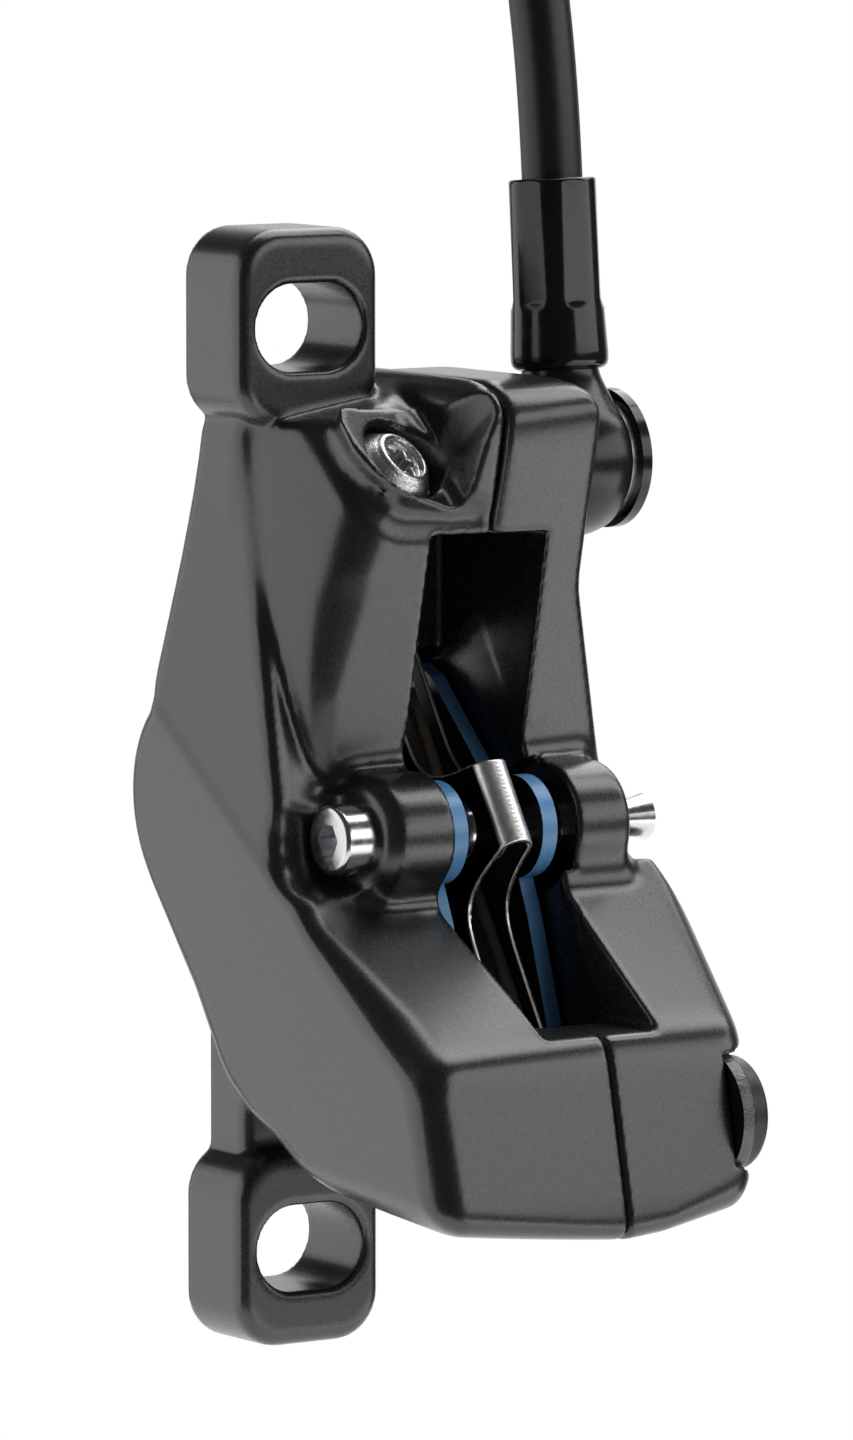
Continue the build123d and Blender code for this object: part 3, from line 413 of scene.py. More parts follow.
def common(a, b, radius=0.0):
    """What two forms share, with a rounded edge where they meet."""
    high = np.maximum(a, b)
    if np.isscalar(radius) and radius <= 0:
        return high
    u, v = np.maximum(radius + a, 0), np.maximum(radius + b, 0)
    return np.minimum(-radius, high) + np.sqrt(u * u + v * v)


def cut(a, b, radius=0.0):
    """A form with another taken out of it."""
    return common(a, -b, radius)


def blend(place, start, end, first, last):
    """Goes from a first value to a last one while a coordinate goes from start to end."""
    return first + (last - first) * np.clip((place - start) / (end - start), 0, 1)


def softened(form, passes=1, reach=1):
    """The form with its edges and hollows rounded by averaging over its neighbours."""
    for _ in range(passes):
        for axis in range(3):
            padded = np.pad(form, [(reach, reach) if i == axis else (0, 0) for i in range(3)], mode="edge")
            length = form.shape[axis]
            total = np.zeros_like(form)
            for step in range(2 * reach + 1):
                window = [slice(None)] * 3
                window[axis] = slice(step, step + length)
                total += padded[tuple(window)]
            form = total / (2 * reach + 1)
    return form


def capsule_path(block, places, radius):
    """A round bar along a run of points."""
    nearest = np.inf
    for a, b in zip(places, places[1:]):
        a, b = Vector(a), Vector(b)
        way = b - a
        da, dy, dz = block.across - a[0], block.y - a[1], block.z - a[2]
        share = np.clip((da * way[0] + dy * way[1] + dz * way[2]) / way.length_squared, 0, 1)
        far = (da - share * way[0]) ** 2 + (dy - share * way[1]) ** 2 + (dz - share * way[2]) ** 2
        nearest = np.minimum(nearest, far)
    return np.sqrt(nearest) - radius


def mesh_from(name, block, form):
    """A smooth mesh of the surface of a form."""
    voxel = block.voxel
    grid = openvdb.FloatGrid(3.0 * voxel)
    grid.copyFromArray(np.ascontiguousarray(np.clip(form, -4 * voxel, 4 * voxel), dtype=np.float32))
    spots, triangles, quads = grid.convertToPolygons(isovalue=0.0, adaptivity=0.0)
    places = (block.low + np.array(spots) * voxel + np.array([DISC_OFFSET, 0, 0])) * MM
    faces = [tuple(face[::-1]) for face in [*quads.tolist(), *triangles.tolist()]]
    return smooth_piece(name, places.tolist(), faces)


def smooth_piece(name, places, faces):
    """A new piece from points in metres and faces, shaded smooth."""
    mesh = bpy.data.meshes.new(name)
    mesh.from_pydata(places, [], faces)
    mesh.polygons.foreach_set("use_smooth", [True] * len(faces))
    return in_scene(name, mesh)


def stand_in_for(piece, node, material):
    """Gives a piece its material and lets it stand for a node of the caliper."""
    piece.data.materials.append(material)
    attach(piece, "caliper")
    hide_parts(node)


# What both halves share
SIDE_OUTLINE = [
    (-18.2, BRIDGE_TOP),
    (-20.8, 32.3),
    (-22.2, 30.4),
    (-22.0, 27.8),
    (-20.0, WINDOW_TOP),
    (-17.0, 4.8),
    (-15.4, 1.0),
    (-16.4, -3.6),
    (-35.8, -17.95),
    (-39.5, -34.9),
    (PAD_Y - 12.0, -32.3),
    (PAD_Y - 1.0, PAD_Z - 16.5),
    (PAD_Y + 2.0, PAD_Z),
    (PAD_Y + 11.6, PAD_Z + 16.5),
    (1.8, 18.4),
    (0.0, 29.5),
    (-2.5, BRIDGE_TOP),
]
NOSE_EDGE = 2.4


def side_profile(block):
    """The halves' outline seen from the side, with soft edges that widen towards the nose."""
    crisp = outline_distance(block.y, block.z, SIDE_OUTLINE)
    return blend(block.z, -10.0, -15.0, softened(crisp, 3, 2), softened(crisp, 4, 3))


def edge_radius(block, small, large):
    """A rounding that widens from the waist to the nose."""
    return blend(block.z, -8.0, -16.0, small, large)


def parting_radius(block, bridge_radius):
    """The rounding along the parting face, wide at the bridge and tight at the nose."""
    return blend(block.z, 14.0, 20.0, 0.5, bridge_radius)


def pad_frame(block):
    """Distances from the pads' middle: up along the pads, and out towards the pin."""
    dy, dz = block.y - PAD_Y, block.z - PAD_Z
    return dy * OUT_Z - dz * OUT_Y, dy * OUT_Y + dz * OUT_Z


def bore_housing(block):
    """The round walls about the two bores, endless across the disc."""
    along, out = pad_frame(block)
    past_bores = np.maximum(np.abs(along) - PISTON_SPREAD, 0)
    return np.sqrt(past_bores**2 + out**2) - BORE_RADIUS - BORE_WALL


def shared_cuts(block, form, side):
    """Cuts the window, the pads' pocket, room for the disc, the bores and the pin's hole."""
    off_disc = side * block.across
    along, out = pad_frame(block)
    window = outline_distance(
        block.y,
        block.z,
        [(-FAR, WINDOW_BOTTOM), (-FAR, WINDOW_TOP), (WINDOW_BACK, WINDOW_TOP), (WINDOW_BACK, WINDOW_BOTTOM)],
    )
    form = cut(form, common(softened(window), off_disc - POCKET, 0.4), 0.35)
    middle, half_depth = (POCKET_FRONT + POCKET_BACK) / 2, (POCKET_FRONT - POCKET_BACK) / 2
    pocket = rectangle_distance(along, out - middle, POCKET_HALF_LENGTH, half_depth)
    form = cut(form, common(pocket, off_disc - POCKET, 0.4), 0.3)
    disc = np.sqrt(along**2 + (out + DISC_TO_PAD) ** 2) - DISC_ROOM_RADIUS
    form = cut(form, common(disc, off_disc - DISC_ROOM, 0.4), 0.3)
    for place in (-PISTON_SPREAD, PISTON_SPREAD):
        bore = np.sqrt((along - place) ** 2 + out**2) - BORE_RADIUS
        form = cut(form, common(bore, off_disc - BORE_DEPTH), 0.2)
    return cut(form, block.rod_across(PIN_Y, PIN_Z, PIN_HOLE_RADIUS))


# Left half
OUTBOARD_INSIDE = (-8.0, -6.0, 5.0)
CREASE_BACK, CREASE_FRONT = (-17.9, 4.1, 7.4), (-17.9, -14.6, -6.0)


def outboard_side(block):
    """The side facets: the lower one stands a little proud along the crease between them."""
    proud = 0.15
    upper = block.plane_by(CREASE_BACK, (-14.9, -4.0, 29.5), CREASE_FRONT, OUTBOARD_INSIDE) + proud
    foot = block.plane_by(CREASE_FRONT, (-16.9, -19.0, -30.5), CREASE_BACK, OUTBOARD_INSIDE) - proud
    ledge = block.plane(CREASE_FRONT, (-0.6, -0.465, 0.65))
    lower = block.right_of(CREASE_BACK[0]) - proud
    return common(common(foot, lower, 0.2), joined(ledge, upper, 0.2), 0.15)


def outboard_column(block):
    """The column beside the window: a flank in three soft planes, a wide rounded corner and a face."""
    flank_up = block.plane((-14.5, -11.5, 19.0), (-0.95, -0.31, 0.187))
    flank_middle = block.plane((-14.6, -11.2, 12.0), (-0.95, -0.31, -0.02))
    flank_low = block.plane((-14.3, -11.9, 7.0), (-0.9, -0.36, -0.26))
    flank = common(common(flank_up, flank_middle, 0.8), flank_low, 0.8)
    face = block.plane((-5.3, -18.9, 20.3), (-0.164, -0.963, -0.215))
    corner = blend(block.z, 2.0, 16.0, 0.9, 2.8)
    foot_z = 0.4
    return common(common(flank, face, corner), foot_z - block.z, 0.6)


def outboard_fronts(block):
    """The front of the upper plate, the nose's ramp before it, and the column."""
    strip = block.plane_by((-15.9, -9.3, 18.0), (-17.7, -15.2, -1.7), (-11.6, -13.1, -1.7), OUTBOARD_INSIDE)
    ramp = block.plane_by(CREASE_FRONT, (-17.9, -36.4, -18.8), (-5.3, -35.2, -17.6), (-10, -30, -28))
    return joined(joined(ramp, strip, 0.8), outboard_column(block), 0.5)


def bleed_frame(block):
    """Distances from the bleed port: along its floor to the right and up, and out of it."""
    way = Vector(BLEED_WAY).normalized()
    right = (Vector(RIGHT) - way * way.x).normalized()
    da, dy, dz = block.across - BLEED[0], block.y - BLEED[1], block.z - BLEED[2]
    return [da * axis.x + dy * axis.y + dz * axis.z for axis in (right, way.cross(right), way)]


def with_bridge_top(block, body):
    """Lowers the top behind the bleed port, with its slope to the bridge, and the roof before it."""
    inside = OUTBOARD_INSIDE
    top = block.plane_by((-15.2, -8.6, 29.3), (-3.0, -8.6, 31.3), (-3.0, 0.0, 31.3), inside)
    slope = block.plane_by((-3.0, -12.9, 31.2), (-1.8, -18.5, 31.8), (-1.2, -12.9, BRIDGE_TOP), inside)
    body = common(body, joined(top, slope, 0.4), 0.6)
    roof = block.plane_by((-11.2, -15.1, 30.5), (-2.9, -12.2, 30.2), (-4.0, -9.5, 32.4), inside)
    roof_right_end = -2.6
    return cut(body, common(-roof, block.left_of(roof_right_end), 0.6), 0.7)


def with_bleed_lip(block, body):
    """Hollows the body under the bleed port's rim, and adds the lip about the port."""
    under_rim = [
        (-12.9, -12.6, 30.6),
        (-12.3, -15.9, 27.2),
        (-11.4, -18.3, 24.6),
        (-9.6, -19.6, 22.9),
        (-8.0, -19.8, 22.2),
        (-2.0, -20.8, 22.0),
    ]
    lip_outline = [
        (-4.6, 5.0),
        (-5.6, 3.2),
        (-5.6, 0.4),
        (-4.3, -2.1),
        (-1.2, -4.0),
        (3.2, -4.6),
        (3.6, 5.0),
    ]
    hollow_radius = 1.5
    body = cut(body, capsule_path(block, under_rim, hollow_radius), 1.0)
    right, up, out = bleed_frame(block)
    lip_height, lip_depth = 0.4, 4.5

    # The lip's wall draws in below its rim: slant to the side for each step down, slant_length in all
    slant, slant_length = 0.7, 1.22
    wall = (outline_distance(right, up, lip_outline) + slant * np.maximum(-out, 0)) / slant_length
    lip = common(common(wall, out - lip_height, 0.3), -out - lip_depth)
    return joined(body, lip, 0.9)


def with_bleed_port(block, body):
    """Cuts the scoop about the bleed screw, the screw's seat and its thread."""
    right, up, out = bleed_frame(block)
    far_out = np.sqrt(right**2 + up**2)
    wall_right, wall_lean, scoop_top = 3.3, 0.1, 8.0
    seat_radius, seat_depth, thread_depth = 3.75, 1.5, 7.5
    scoop = common(right - wall_right + wall_lean * up, up - scoop_top, 0.6)
    body = cut(body, common(scoop, -out, 1.4), 0.3)
    body = cut(body, common(far_out - seat_radius, -(out + seat_depth)), 0.3)
    return cut(body, common(far_out - BLEED_THREAD_RADIUS, -(out + thread_depth)))


def with_pin_boss(block, body):
    """Adds the pin's boss with its collar, and room for the pin's head."""
    boss_end, collar_end, head_seat = -10.9, -11.7, -11.8
    collar_radius, head_room_radius, head_room_forward = 4.1, 3.9, 0.6
    boss = common(block.rod_across(PIN_Y, PIN_Z, PIN_BOSS_RADIUS), block.right_of(boss_end), 1.1)
    collar = common(block.rod_across(PIN_Y, PIN_Z, collar_radius), block.right_of(collar_end), 0.5)
    body = joined(body, joined(boss, collar, 0.5), 2.4)
    head_room = block.rod_across(PIN_Y - head_room_forward, PIN_Z, head_room_radius)
    return cut(body, common(head_room, block.left_of(head_seat), 0.4), 1.2)


def with_ear(block, body, height):
    """Adds an ear on its neck; height counts from the middle towards the ear."""
    neck_left, neck_right, neck_thickness = -14.5, -5.0, 5.9
    neck_start, neck_end = 14.0, 34.0
    neck = common(block.right_of(neck_left), block.left_of(neck_right))
    neck = common(neck, block.behind(MOUNT_FACE - neck_thickness), 1.2)
    neck = common(neck, block.in_front_of(MOUNT_FACE), 0.6)
    body = joined(body, common(neck, common(height - neck_end, neck_start - height)), 1.4)
    ear = rectangle_distance(
        block.across + DISC_OFFSET, height - EAR_Z, EAR_HALF_WIDTH, EAR_HALF_HEIGHT, EAR_CORNER
    )
    ear = common(ear, block.behind(MOUNT_FACE - EAR_THICKNESS), 1.1)
    ear = common(ear, block.in_front_of(MOUNT_FACE), 0.6)
    return joined(body, ear, 0.3)


def with_slot(block, body, height):
    """Cuts an ear's slot, which lies across the line of the two mounting bolts."""
    past_travel = np.maximum(np.abs(block.across + DISC_OFFSET) - SLOT_HALF_TRAVEL, 0)
    slot = np.sqrt(past_travel**2 + (height - EAR_Z) ** 2) - SLOT_RADIUS
    return cut(body, slot, 0.45)


def outboard_form():
    """The left half: side plate, shoulder, column, bridge with the bleed scoop, nose and ears."""
    block = Block((-18.9, -41.4, -46.2), (0.9, 9.0, 46.2))
    body = common(side_profile(block), outboard_fronts(block), 0.8)
    belly_points = (-17.0, -39.0, -32.3), (-17.0, -19.3, -30.9), (0.0, -38.9, -34.6)
    belly = block.plane_by(*belly_points, OUTBOARD_INSIDE)
    body = common(body, belly, NOSE_EDGE)
    body = joined(body, softened(bore_housing(block)), 0.6)
    body = with_bridge_top(block, body)
    body = with_bleed_lip(block, body)
    body = common(body, outboard_side(block), edge_radius(block, 1.4, 3.0))
    body = with_pin_boss(block, body)
    for up in (1, -1):
        body = with_ear(block, body, up * block.z)
    body = softened(body)

    # Parting face and the cuts with crisp edges
    body = common(body, block.left_of(-PARTING_GAP), parting_radius(block, 0.9))
    for up in (1, -1):
        body = with_slot(block, body, up * block.z)
    body = shared_cuts(block, body, -1)
    return block, with_bleed_port(block, body)


# Right half
INBOARD_INSIDE = (6.0, -6.0, 5.0)
INBOARD_SIDE = 17.6
INBOARD_BOSS_END = 12.0
FRONT_OUTLINE = [
    (-FAR, BRIDGE_TOP),
    (6.9, BRIDGE_TOP),
    (8.7, 32.5),
    (9.5, 30.7),
    (9.5, 16.3),
    (14.6, 0.5),
    (15.2, -3.6),
    (INBOARD_SIDE, PAD_Z - 2.0),
    (INBOARD_SIDE, -FAR),
    (-FAR, -FAR),
]


def inboard_shell(block):
    """The right half's outer form: its two outlines, the nose's right side, belly and front face."""
    front_view = softened(outline_distance(block.across, block.z, FRONT_OUTLINE), 3, 2)
    body = common(side_profile(block), front_view, edge_radius(block, 0.8, 2.6))
    nose_side = block.plane_by((15.6, -27.5, 0), (15.6, -27.5, 10), (12.8, -39.2, 0), INBOARD_INSIDE)
    body = common(body, nose_side, NOSE_EDGE)
    belly = block.plane_by((0.0, -38.9, -34.6), (12.5, -37.5, -32.9), (0.0, -19.3, -32.6), INBOARD_INSIDE)
    body = common(body, belly, blend(block.across, 4.0, 12.0, NOSE_EDGE, 4.2))
    face = block.plane_by((5.3, -20.4, 21.5), (5.3, -16.6, 4.8), (9.0, -19.9, 21.5), INBOARD_INSIDE)
    below_face = block.z + 2.0
    return common(body, joined(face, below_face, 2.0), 1.0)


def with_hip(block, body):
    """Adds the round hip over the bores."""
    housing = common(bore_housing(block), block.left_of(INBOARD_SIDE), 1.4)
    hip = block.plane_by((15.2, -16.4, -3.6), (15.3, -20.1, -8.9), (17.6, -5.0, -2.0), (6.0, -6.0, -5.0))
    return joined(body, common(housing, hip, 1.5), 1.5)


def with_clip_room(block, body):
    """Cuts room for the pin's clip beside the boss."""
    radius = 3.75
    clip_room = common(block.rod_across(PIN_Y, PIN_Z, radius), block.right_of(INBOARD_BOSS_END))
    return cut(body, clip_room, 0.3)


def with_counterbore(block, body):
    """Cuts the counterbore about the pin, on the pads' side."""
    radius, end = 5.3, 6.6
    counterbore = common(block.rod_across(PIN_Y, PIN_Z, radius), block.left_of(end))
    return cut(body, counterbore, 0.3)


def with_lower_bolt_cuts(block, body):
    """Cuts the lower body bolt's seat and its hole."""
    seat_radius, seat_floor, hole_radius = 5.55, 11.0, 2.8
    seat = common(block.rod_across(LOWER_BOLT_Y, LOWER_BOLT_Z, seat_radius), block.right_of(seat_floor))
    body = cut(body, seat, 0.3)
    return cut(body, block.rod_across(LOWER_BOLT_Y, LOWER_BOLT_Z, hole_radius))


def with_banjo_cuts(block, body):
    """Cuts the banjo's seat, open at the top, and its bolt's thread."""
    seat_radius, seat_floor, thread_radius, thread_end = 6.4, 8.0, 2.55, 1.7
    seat = np.sqrt((block.y - BANJO_Y) ** 2 + np.minimum(block.z - BANJO_Z, 0) ** 2) - seat_radius
    body = cut(body, common(seat, block.right_of(seat_floor)), 0.4)
    return cut(body, common(block.rod_across(BANJO_Y, BANJO_Z, thread_radius), block.right_of(thread_end)))


def inboard_form():
    """The right half: bridge with the banjo's seat, column, pin boss, hip and nose."""
    block = Block((-0.9, -41.4, -34.8), (18.6, 9.0, 34.2))
    body = with_hip(block, inboard_shell(block))
    boss = common(block.rod_across(PIN_Y, PIN_Z, PIN_BOSS_RADIUS), block.left_of(INBOARD_BOSS_END), 1.0)
    body = softened(joined(body, boss, 2.6))
    body = common(body, block.right_of(PARTING_GAP), parting_radius(block, 0.8))
    body = with_clip_room(block, body)
    body = shared_cuts(block, body, 1)
    body = with_counterbore(block, body)
    body = with_lower_bolt_cuts(block, body)
    return block, with_banjo_cuts(block, body)


def banjo_form():
    """The banjo: a round-shouldered eye and the neck that the sleeve is crimped on."""
    block = Block((7.6, -19.0, 19.4), (16.2, -5.8, 34.6), 0.16)
    ball_radius, half_width, hole_radius, neck_radius = 6.3, 3.4, 3.0, 3.1
    from_middle = block.across - EYE_CENTRE.x
    ball = np.sqrt(block.rod(EYE_CENTRE, RIGHT, 0.0) ** 2 + from_middle**2) - ball_radius
    eye = common(ball, np.abs(from_middle) - half_width, 1.0)
    neck = common(
        block.rod(EYE_CENTRE, SLEEVE_WAY, neck_radius),
        block.plane(EYE_CENTRE + SLEEVE_WAY * (SLEEVE_START + 1.0), SLEEVE_WAY),
    )
    neck = common(neck, block.plane(EYE_CENTRE, -SLEEVE_WAY))
    form = joined(eye, neck, 2.0)
    return block, cut(form, block.rod(EYE_CENTRE, RIGHT, hole_radius), 0.2)


def bleed_screw_form():
    """The bleed screw: a rim about a star socket, and a blasted cone under the rim."""
    block = Block((-12.6, -21.2, 17.6), (0.4, -7.0, 31.4), 0.14)
    right, up, out = bleed_frame(block)
    far_out = np.sqrt(right**2 + up**2)
    cone_top, cone_depth, top_radius, widest_radius = -0.1, 1.4, 2.5, 3.5

    # The cone widens below its top: slant to the side for each step down, slant_length in all
    slant, slant_length = 0.8, 1.28
    cone = common((far_out - top_radius + slant * out) / slant_length, -out - cone_depth, 0.1)
    cone = common(cone, common(out - cone_top, far_out - widest_radius), 0.1)
    rim_radius, rim_thickness = 2.15, 0.34
    rim = np.sqrt((far_out - rim_radius) ** 2 + (out - cone_top) ** 2) - rim_thickness
    shank_radius, shank_length = 2.0, 7.4
    shank = common(far_out - shank_radius, common(out, -out - shank_length))
    form = joined(joined(cone, shank), rim, 0.1)
    face_radius, face_depth = 1.9, 0.35
    form = cut(form, common(far_out - face_radius, -out - face_depth), 0.1)
    points, point_height, socket_radius, socket_depth = 6, 0.3, 1.25, 2.4
    star = far_out - socket_radius - point_height * np.cos(points * np.arctan2(up, right))
    return block, cut(form, common(star, -out - socket_depth), 0.08)


def spring_form():
    """The sheet spring: a crest over the pin and two wings whose edges sweep away from it."""
    block = Block((-2.6, -25.0, -20.6), (2.6, -4.0, 11.0), 0.12)
    along, out = pad_frame(block)
    along = np.abs(along)
    half_sheet, half_length, hole_radius = 0.2, 17.4, 2.35
    wing_foot, crest_centre, crest_reach = 7.2, 15.4, 3.6
    foot_across, leg_across = 2.0, 1.4
    lean = atan((foot_across - leg_across) / (crest_centre - wing_foot))
    aside = np.abs(block.across)
    wing = np.abs((aside - foot_across) * cos(lean) + (out - wing_foot) * sin(lean))
    crest = np.abs(np.sqrt(aside**2 + (out - crest_centre) ** 2) - leg_across)
    sheet = np.where(out < crest_centre, wing, crest) - half_sheet
    low_edge, sweep, sweep_reach = 8.9, 8.2, 1.15
    rise = sweep * np.exp(-np.maximum(along - crest_reach, 0) / sweep_reach)
    beyond_edge = (out - low_edge - rise) / np.sqrt(1 + (rise / sweep_reach) ** 2)
    form = common(common(sheet, beyond_edge), common(wing_foot - out, along - half_length))
    return block, cut(form, block.rod_across(PIN_Y, PIN_Z, hole_radius))


# Crimp sleeve: height from its start, radius, and how far the flats are pressed in there
SLEEVE_OUTLINE = [
    (0.0, 2.6, 0.0),
    (0.0, 3.3, 0.0),
    (0.1, 3.6, 0.0),
    (0.35, 3.85, 0.0),
    (0.7, 3.96, 0.0),
    (1.4, 3.96, 0.0),
    (4.7, 3.8, 0.0),
    (4.9, 3.79, 0.3),
    (5.3, 3.77, 0.8),
    (5.7, 3.76, 1.0),
    (15.0, 3.64, 1.0),
    (15.25, 3.58, 1.0),
    (SLEEVE_LENGTH, 3.4, 1.0),
    (SLEEVE_LENGTH, 2.4, 1.0),
]
SLEEVE_SIDES = 180
FLAT_DISTANCE, UNPRESSED_ROOM, FLAT_TURN = 3.5, 0.5, radians(27)


def sleeve_ring(height, radius, pressed):
    """The points about the sleeve at one height."""
    to_camera = (CAMERA_WAY - SLEEVE_WAY * CAMERA_WAY.dot(SLEEVE_WAY)).normalized()
    to_right = SLEEVE_WAY.cross(to_camera)
    level = EYE_CENTRE + SLEEVE_WAY * (SLEEVE_START + height)
    spots = []
    for step in range(SLEEVE_SIDES):
        turn = 2 * pi * step / SLEEVE_SIDES
        past_flat = (turn - FLAT_TURN + pi / 6) % (pi / 3) - pi / 6
        reach = min(radius, (FLAT_DISTANCE + UNPRESSED_ROOM * (1 - pressed)) / cos(past_flat))
        spots.append(tuple(row(*(level + (to_camera * cos(turn) + to_right * sin(turn)) * reach))))
    return spots


def sleeve_piece():
    """The crimp sleeve, turned round and then pressed flat on six sides."""
    spots = [spot for ring in SLEEVE_OUTLINE for spot in sleeve_ring(*ring)]
    faces = []
    for ring in range(len(SLEEVE_OUTLINE) - 1):
        for step in range(SLEEVE_SIDES):
            following = (step + 1) % SLEEVE_SIDES
            low, high = ring * SLEEVE_SIDES, (ring + 1) * SLEEVE_SIDES
            faces.append((low + step, low + following, high + following, high + step))
    return smooth_piece("crimped_sleeve", spots, faces)


# Pieces that stand for the part's solids
stand_in_for(mesh_from("outboard_body_forging", *outboard_form()), "outboard_body", anodised)
stand_in_for(mesh_from("inboard_body_forging", *inboard_form()), "inboard_body", anodised)
stand_in_for(mesh_from("banjo_eye", *banjo_form()), "banjo", banjo_black)
stand_in_for(mesh_from("bleed_port_screw", *bleed_screw_form()), "bleed_screw", sparkling)
stand_in_for(sleeve_piece(), "crimp_sleeve", black_gloss)
spring = mesh_from("sheet_spring", *spring_form())
stand_in_for(spring, "pad_spring", spring_sheet)
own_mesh(spring)


# Hose: the route's points from the part's source, then the coil's turns and the tail
hose_start = EYE_CENTRE + SLEEVE_WAY * (SLEEVE_START + SLEEVE_LENGTH)
hose_route = [
    hose_start,
    hose_start + SLEEVE_WAY * 8.1,
    Vector((11.5, -8.2, 68.5)),
    Vector((16.5, -7.0, 82.5)),
    Vector((28.5, -7.0, 93.0)),
    Vector((46.0, -7.0, 99.0)),
    Vector((66.5, -7.0, 100.0)),
    Vector((86.5, -7.0, 100.0)),
]
COIL_LEAD = 5.0
COIL_PITCH = 5.5
COIL_QUARTERS = 17
COIL_TURNING = 9
COIL_LEAST_RADIUS = 27.5 - COIL_PITCH * COIL_TURNING / 8 + 0.3
POINTS_A_QUARTER = 4
TAIL_LENGTH = 46.0
coil_first_radius = COIL_LEAST_RADIUS + COIL_PITCH * COIL_TURNING / 4
coil_centre = hose_route[-1] + Vector((COIL_LEAD, 0, -coil_first_radius))


def coil_point(quarter):
    """A control point of the coil, so far out that the smooth line keeps the coil's radius."""
    outwards = 2 / (1 + cos(pi / 2 / POINTS_A_QUARTER))
    radius = (COIL_LEAST_RADIUS + COIL_PITCH * abs(quarter - COIL_TURNING) / 4) * outwards
    turn = pi / 2 * (1 - quarter)
    climb = min(max((quarter - COIL_TURNING + 1) / 2, 0), 1)
    return coil_centre + Vector((radius * cos(turn), -COIL_PITCH * climb, radius * sin(turn)))


def hose_points():
    """The control points of the whole hose, from the sleeve to the far fitting."""
    coil = [coil_point(step / POINTS_A_QUARTER) for step in range(1, COIL_QUARTERS * POINTS_A_QUARTER)]
    last_radius = COIL_LEAST_RADIUS + COIL_PITCH * (COIL_QUARTERS - COIL_TURNING) / 4
    coil_exit = coil_centre + Vector((last_radius, -COIL_PITCH, 0))
    down = Vector((0, 0, -1))
    tail = [coil_exit + down * (COIL_LEAD + share * TAIL_LENGTH) for share in (0.0, 0.5, 1.0)]
    return [*hose_route, *coil, coil_exit, *tail]


def hose_piece():
    """The hose, a round bar along its control points."""
    curve = bpy.data.curves.new("hose_line", "CURVE")
    curve.dimensions = "3D"
    spline = curve.splines.new("NURBS")
    places = hose_points()
    spline.points.add(len(places) - 1)
    for control, place in zip(spline.points, places):
        control.co = (*row(*place), 1)
    spline.order_u = 3
    spline.use_endpoint_u = True
    spline.resolution_u = 8
    curve.bevel_depth = HOSE_RADIUS * MM
    curve.bevel_resolution = 6
    curve.use_fill_caps = True
    curve.materials.append(jacket)
    return in_scene("brake_hose", curve)


hose = hose_piece()
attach(hose, "caliper")
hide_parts("hose", "hose_coil", "hose_tail")


# Lights: each panel's direction from the part, width, height and brightness
PANEL_DISTANCE = 0.9
PANEL_AIM = Vector((0, -0.02, 0))
PANELS = {
    "left_panel": ((-0.82, 0.57, 0.0), 1.6, 1.1, 1.25),
    "low_panel": ((0.45, -0.76, -0.47), 1.1, 0.5, 2.0),
    "right_panel": ((0.62, -0.74, 0.3), 1.1, 0.4, 1.9),
    "top_panel": ((0.5, 0.18, 0.85), 1.1, 1.0, 3.2),
}


def add_panel(name, way, width, height, brightness):
    """A softbox that faces the part."""
    data = bpy.data.lights.new(name, "AREA")
    data.shape = "RECTANGLE"
    data.size = width
    data.size_y = height
    data.energy = brightness * pi * width * height
    light = in_scene(name, data)
    light.location = Vector(way).normalized() * PANEL_DISTANCE
    light.rotation_euler = (PANEL_AIM - light.location).to_track_quat("-Z", "Y").to_euler()


for panel_name, panel in PANELS.items():
    add_panel(panel_name, *panel)

# World: white to the camera, also in metal and glass that show what lies behind the part
BEHIND = Vector((0.556, 0.8245, -0.1045))
BACKDROP_EDGE, BACKDROP_FULL = 0.75, 0.9
DIM_STRENGTH = 0.05


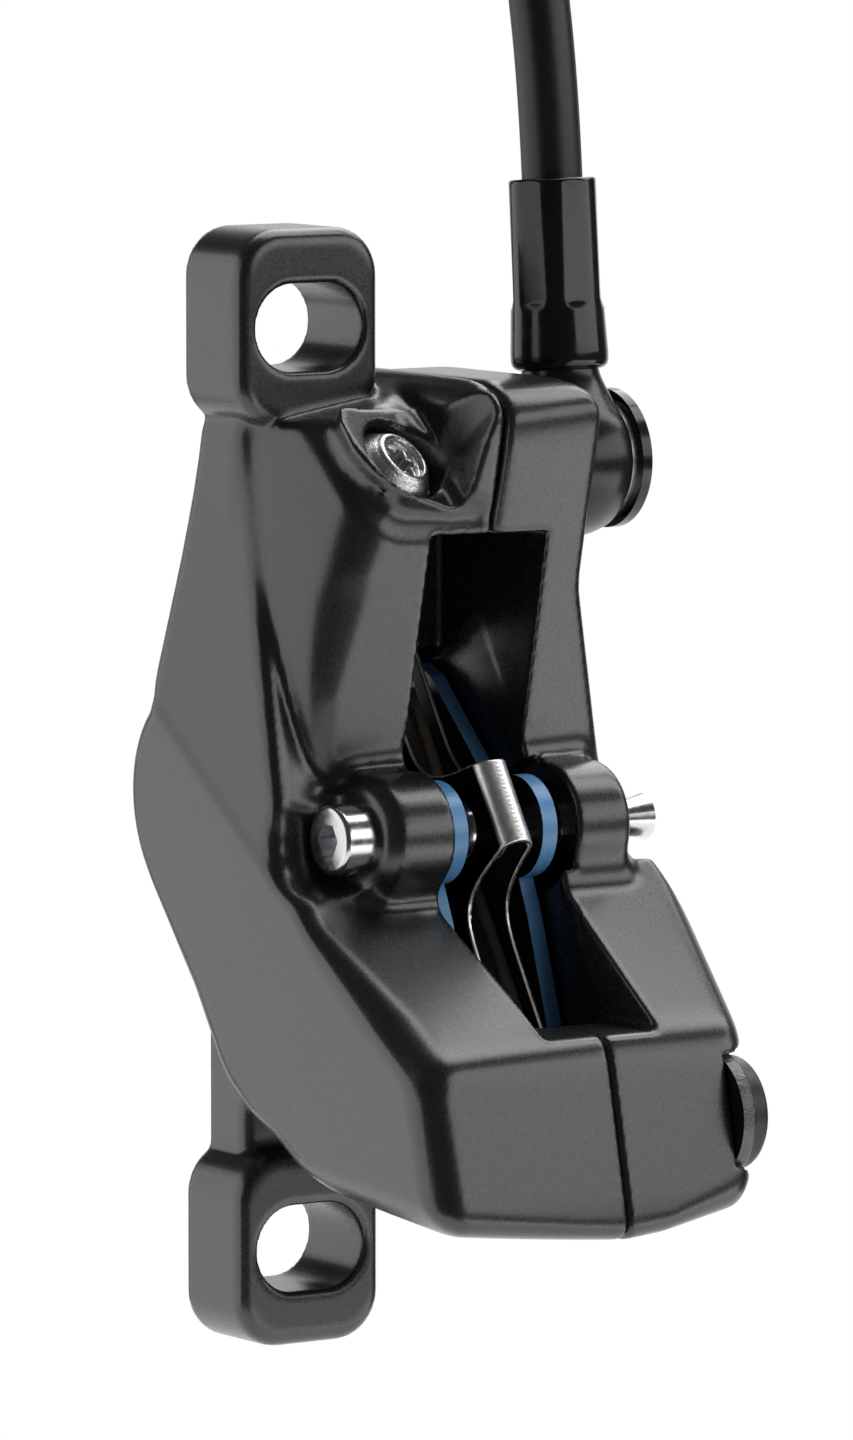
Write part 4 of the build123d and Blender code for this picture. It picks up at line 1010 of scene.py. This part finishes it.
def add_world():
    """A studio that is white to the camera, white in mirrors only behind the part, and dim elsewhere."""
    world = bpy.data.worlds.new("studio")
    bpy.context.scene.world = world
    graph = Graph(world)
    ray = graph.nodes.new("ShaderNodeLightPath").outputs
    direction = graph.nodes.new("ShaderNodeTexCoord").outputs["Generated"]
    facing = graph.nodes.new("ShaderNodeVectorMath")
    facing.operation = "DOT_PRODUCT"
    facing.inputs[1].default_value = BEHIND
    graph.links.new(direction, facing.inputs[0])
    backdrop = graph.rescaled(facing.outputs["Value"], BACKDROP_EDGE, BACKDROP_FULL)
    mirrored = graph.math("MULTIPLY", ray["Is Glossy Ray"], backdrop)
    seen = graph.math("MAXIMUM", ray["Is Camera Ray"], ray["Is Transmission Ray"])
    seen = graph.math("MAXIMUM", seen, mirrored)
    background = graph.nodes["Background"].inputs
    background["Color"].default_value = (1, 1, 1, 1)
    graph.links.new(graph.math("MAXIMUM", seen, DIM_STRENGTH), background["Strength"])


add_world()

# Floor: a pale round table top under the part
FLOOR_Z, FLOOR_RADIUS, FLOOR_SIDES = -0.14, 0.3, 96
FLOOR_GLOW = 0.5


def pale_material():
    """The floor's plain pale surface, which also glows for rays that look straight at it."""
    pale = bpy.data.materials.new("pale_floor")
    graph = Graph(pale)
    sockets = graph.nodes["Principled BSDF"].inputs
    sockets["Base Color"].default_value = (0.8, 0.8, 0.8, 1)
    sockets["Roughness"].default_value = 0.9
    sockets["Emission Color"].default_value = (1, 1, 1, 1)
    ray = graph.nodes.new("ShaderNodeLightPath").outputs
    seen = graph.math("MAXIMUM", ray["Is Camera Ray"], ray["Is Transmission Ray"])
    seen = graph.math("MAXIMUM", seen, ray["Is Glossy Ray"])
    graph.links.new(graph.math("MULTIPLY", seen, FLOOR_GLOW), sockets["Emission Strength"])
    return pale


turns = [2 * pi * step / FLOOR_SIDES for step in range(FLOOR_SIDES)]
floor_mesh = bpy.data.meshes.new("floor")
floor_mesh.from_pydata(
    [(FLOOR_RADIUS * cos(turn), FLOOR_RADIUS * sin(turn), FLOOR_Z) for turn in turns],
    [],
    [tuple(range(FLOOR_SIDES))],
)
floor_mesh.materials.append(pale_material())
floor = in_scene("floor", floor_mesh)

bpy.context.scene.view_settings.view_transform = "Standard"
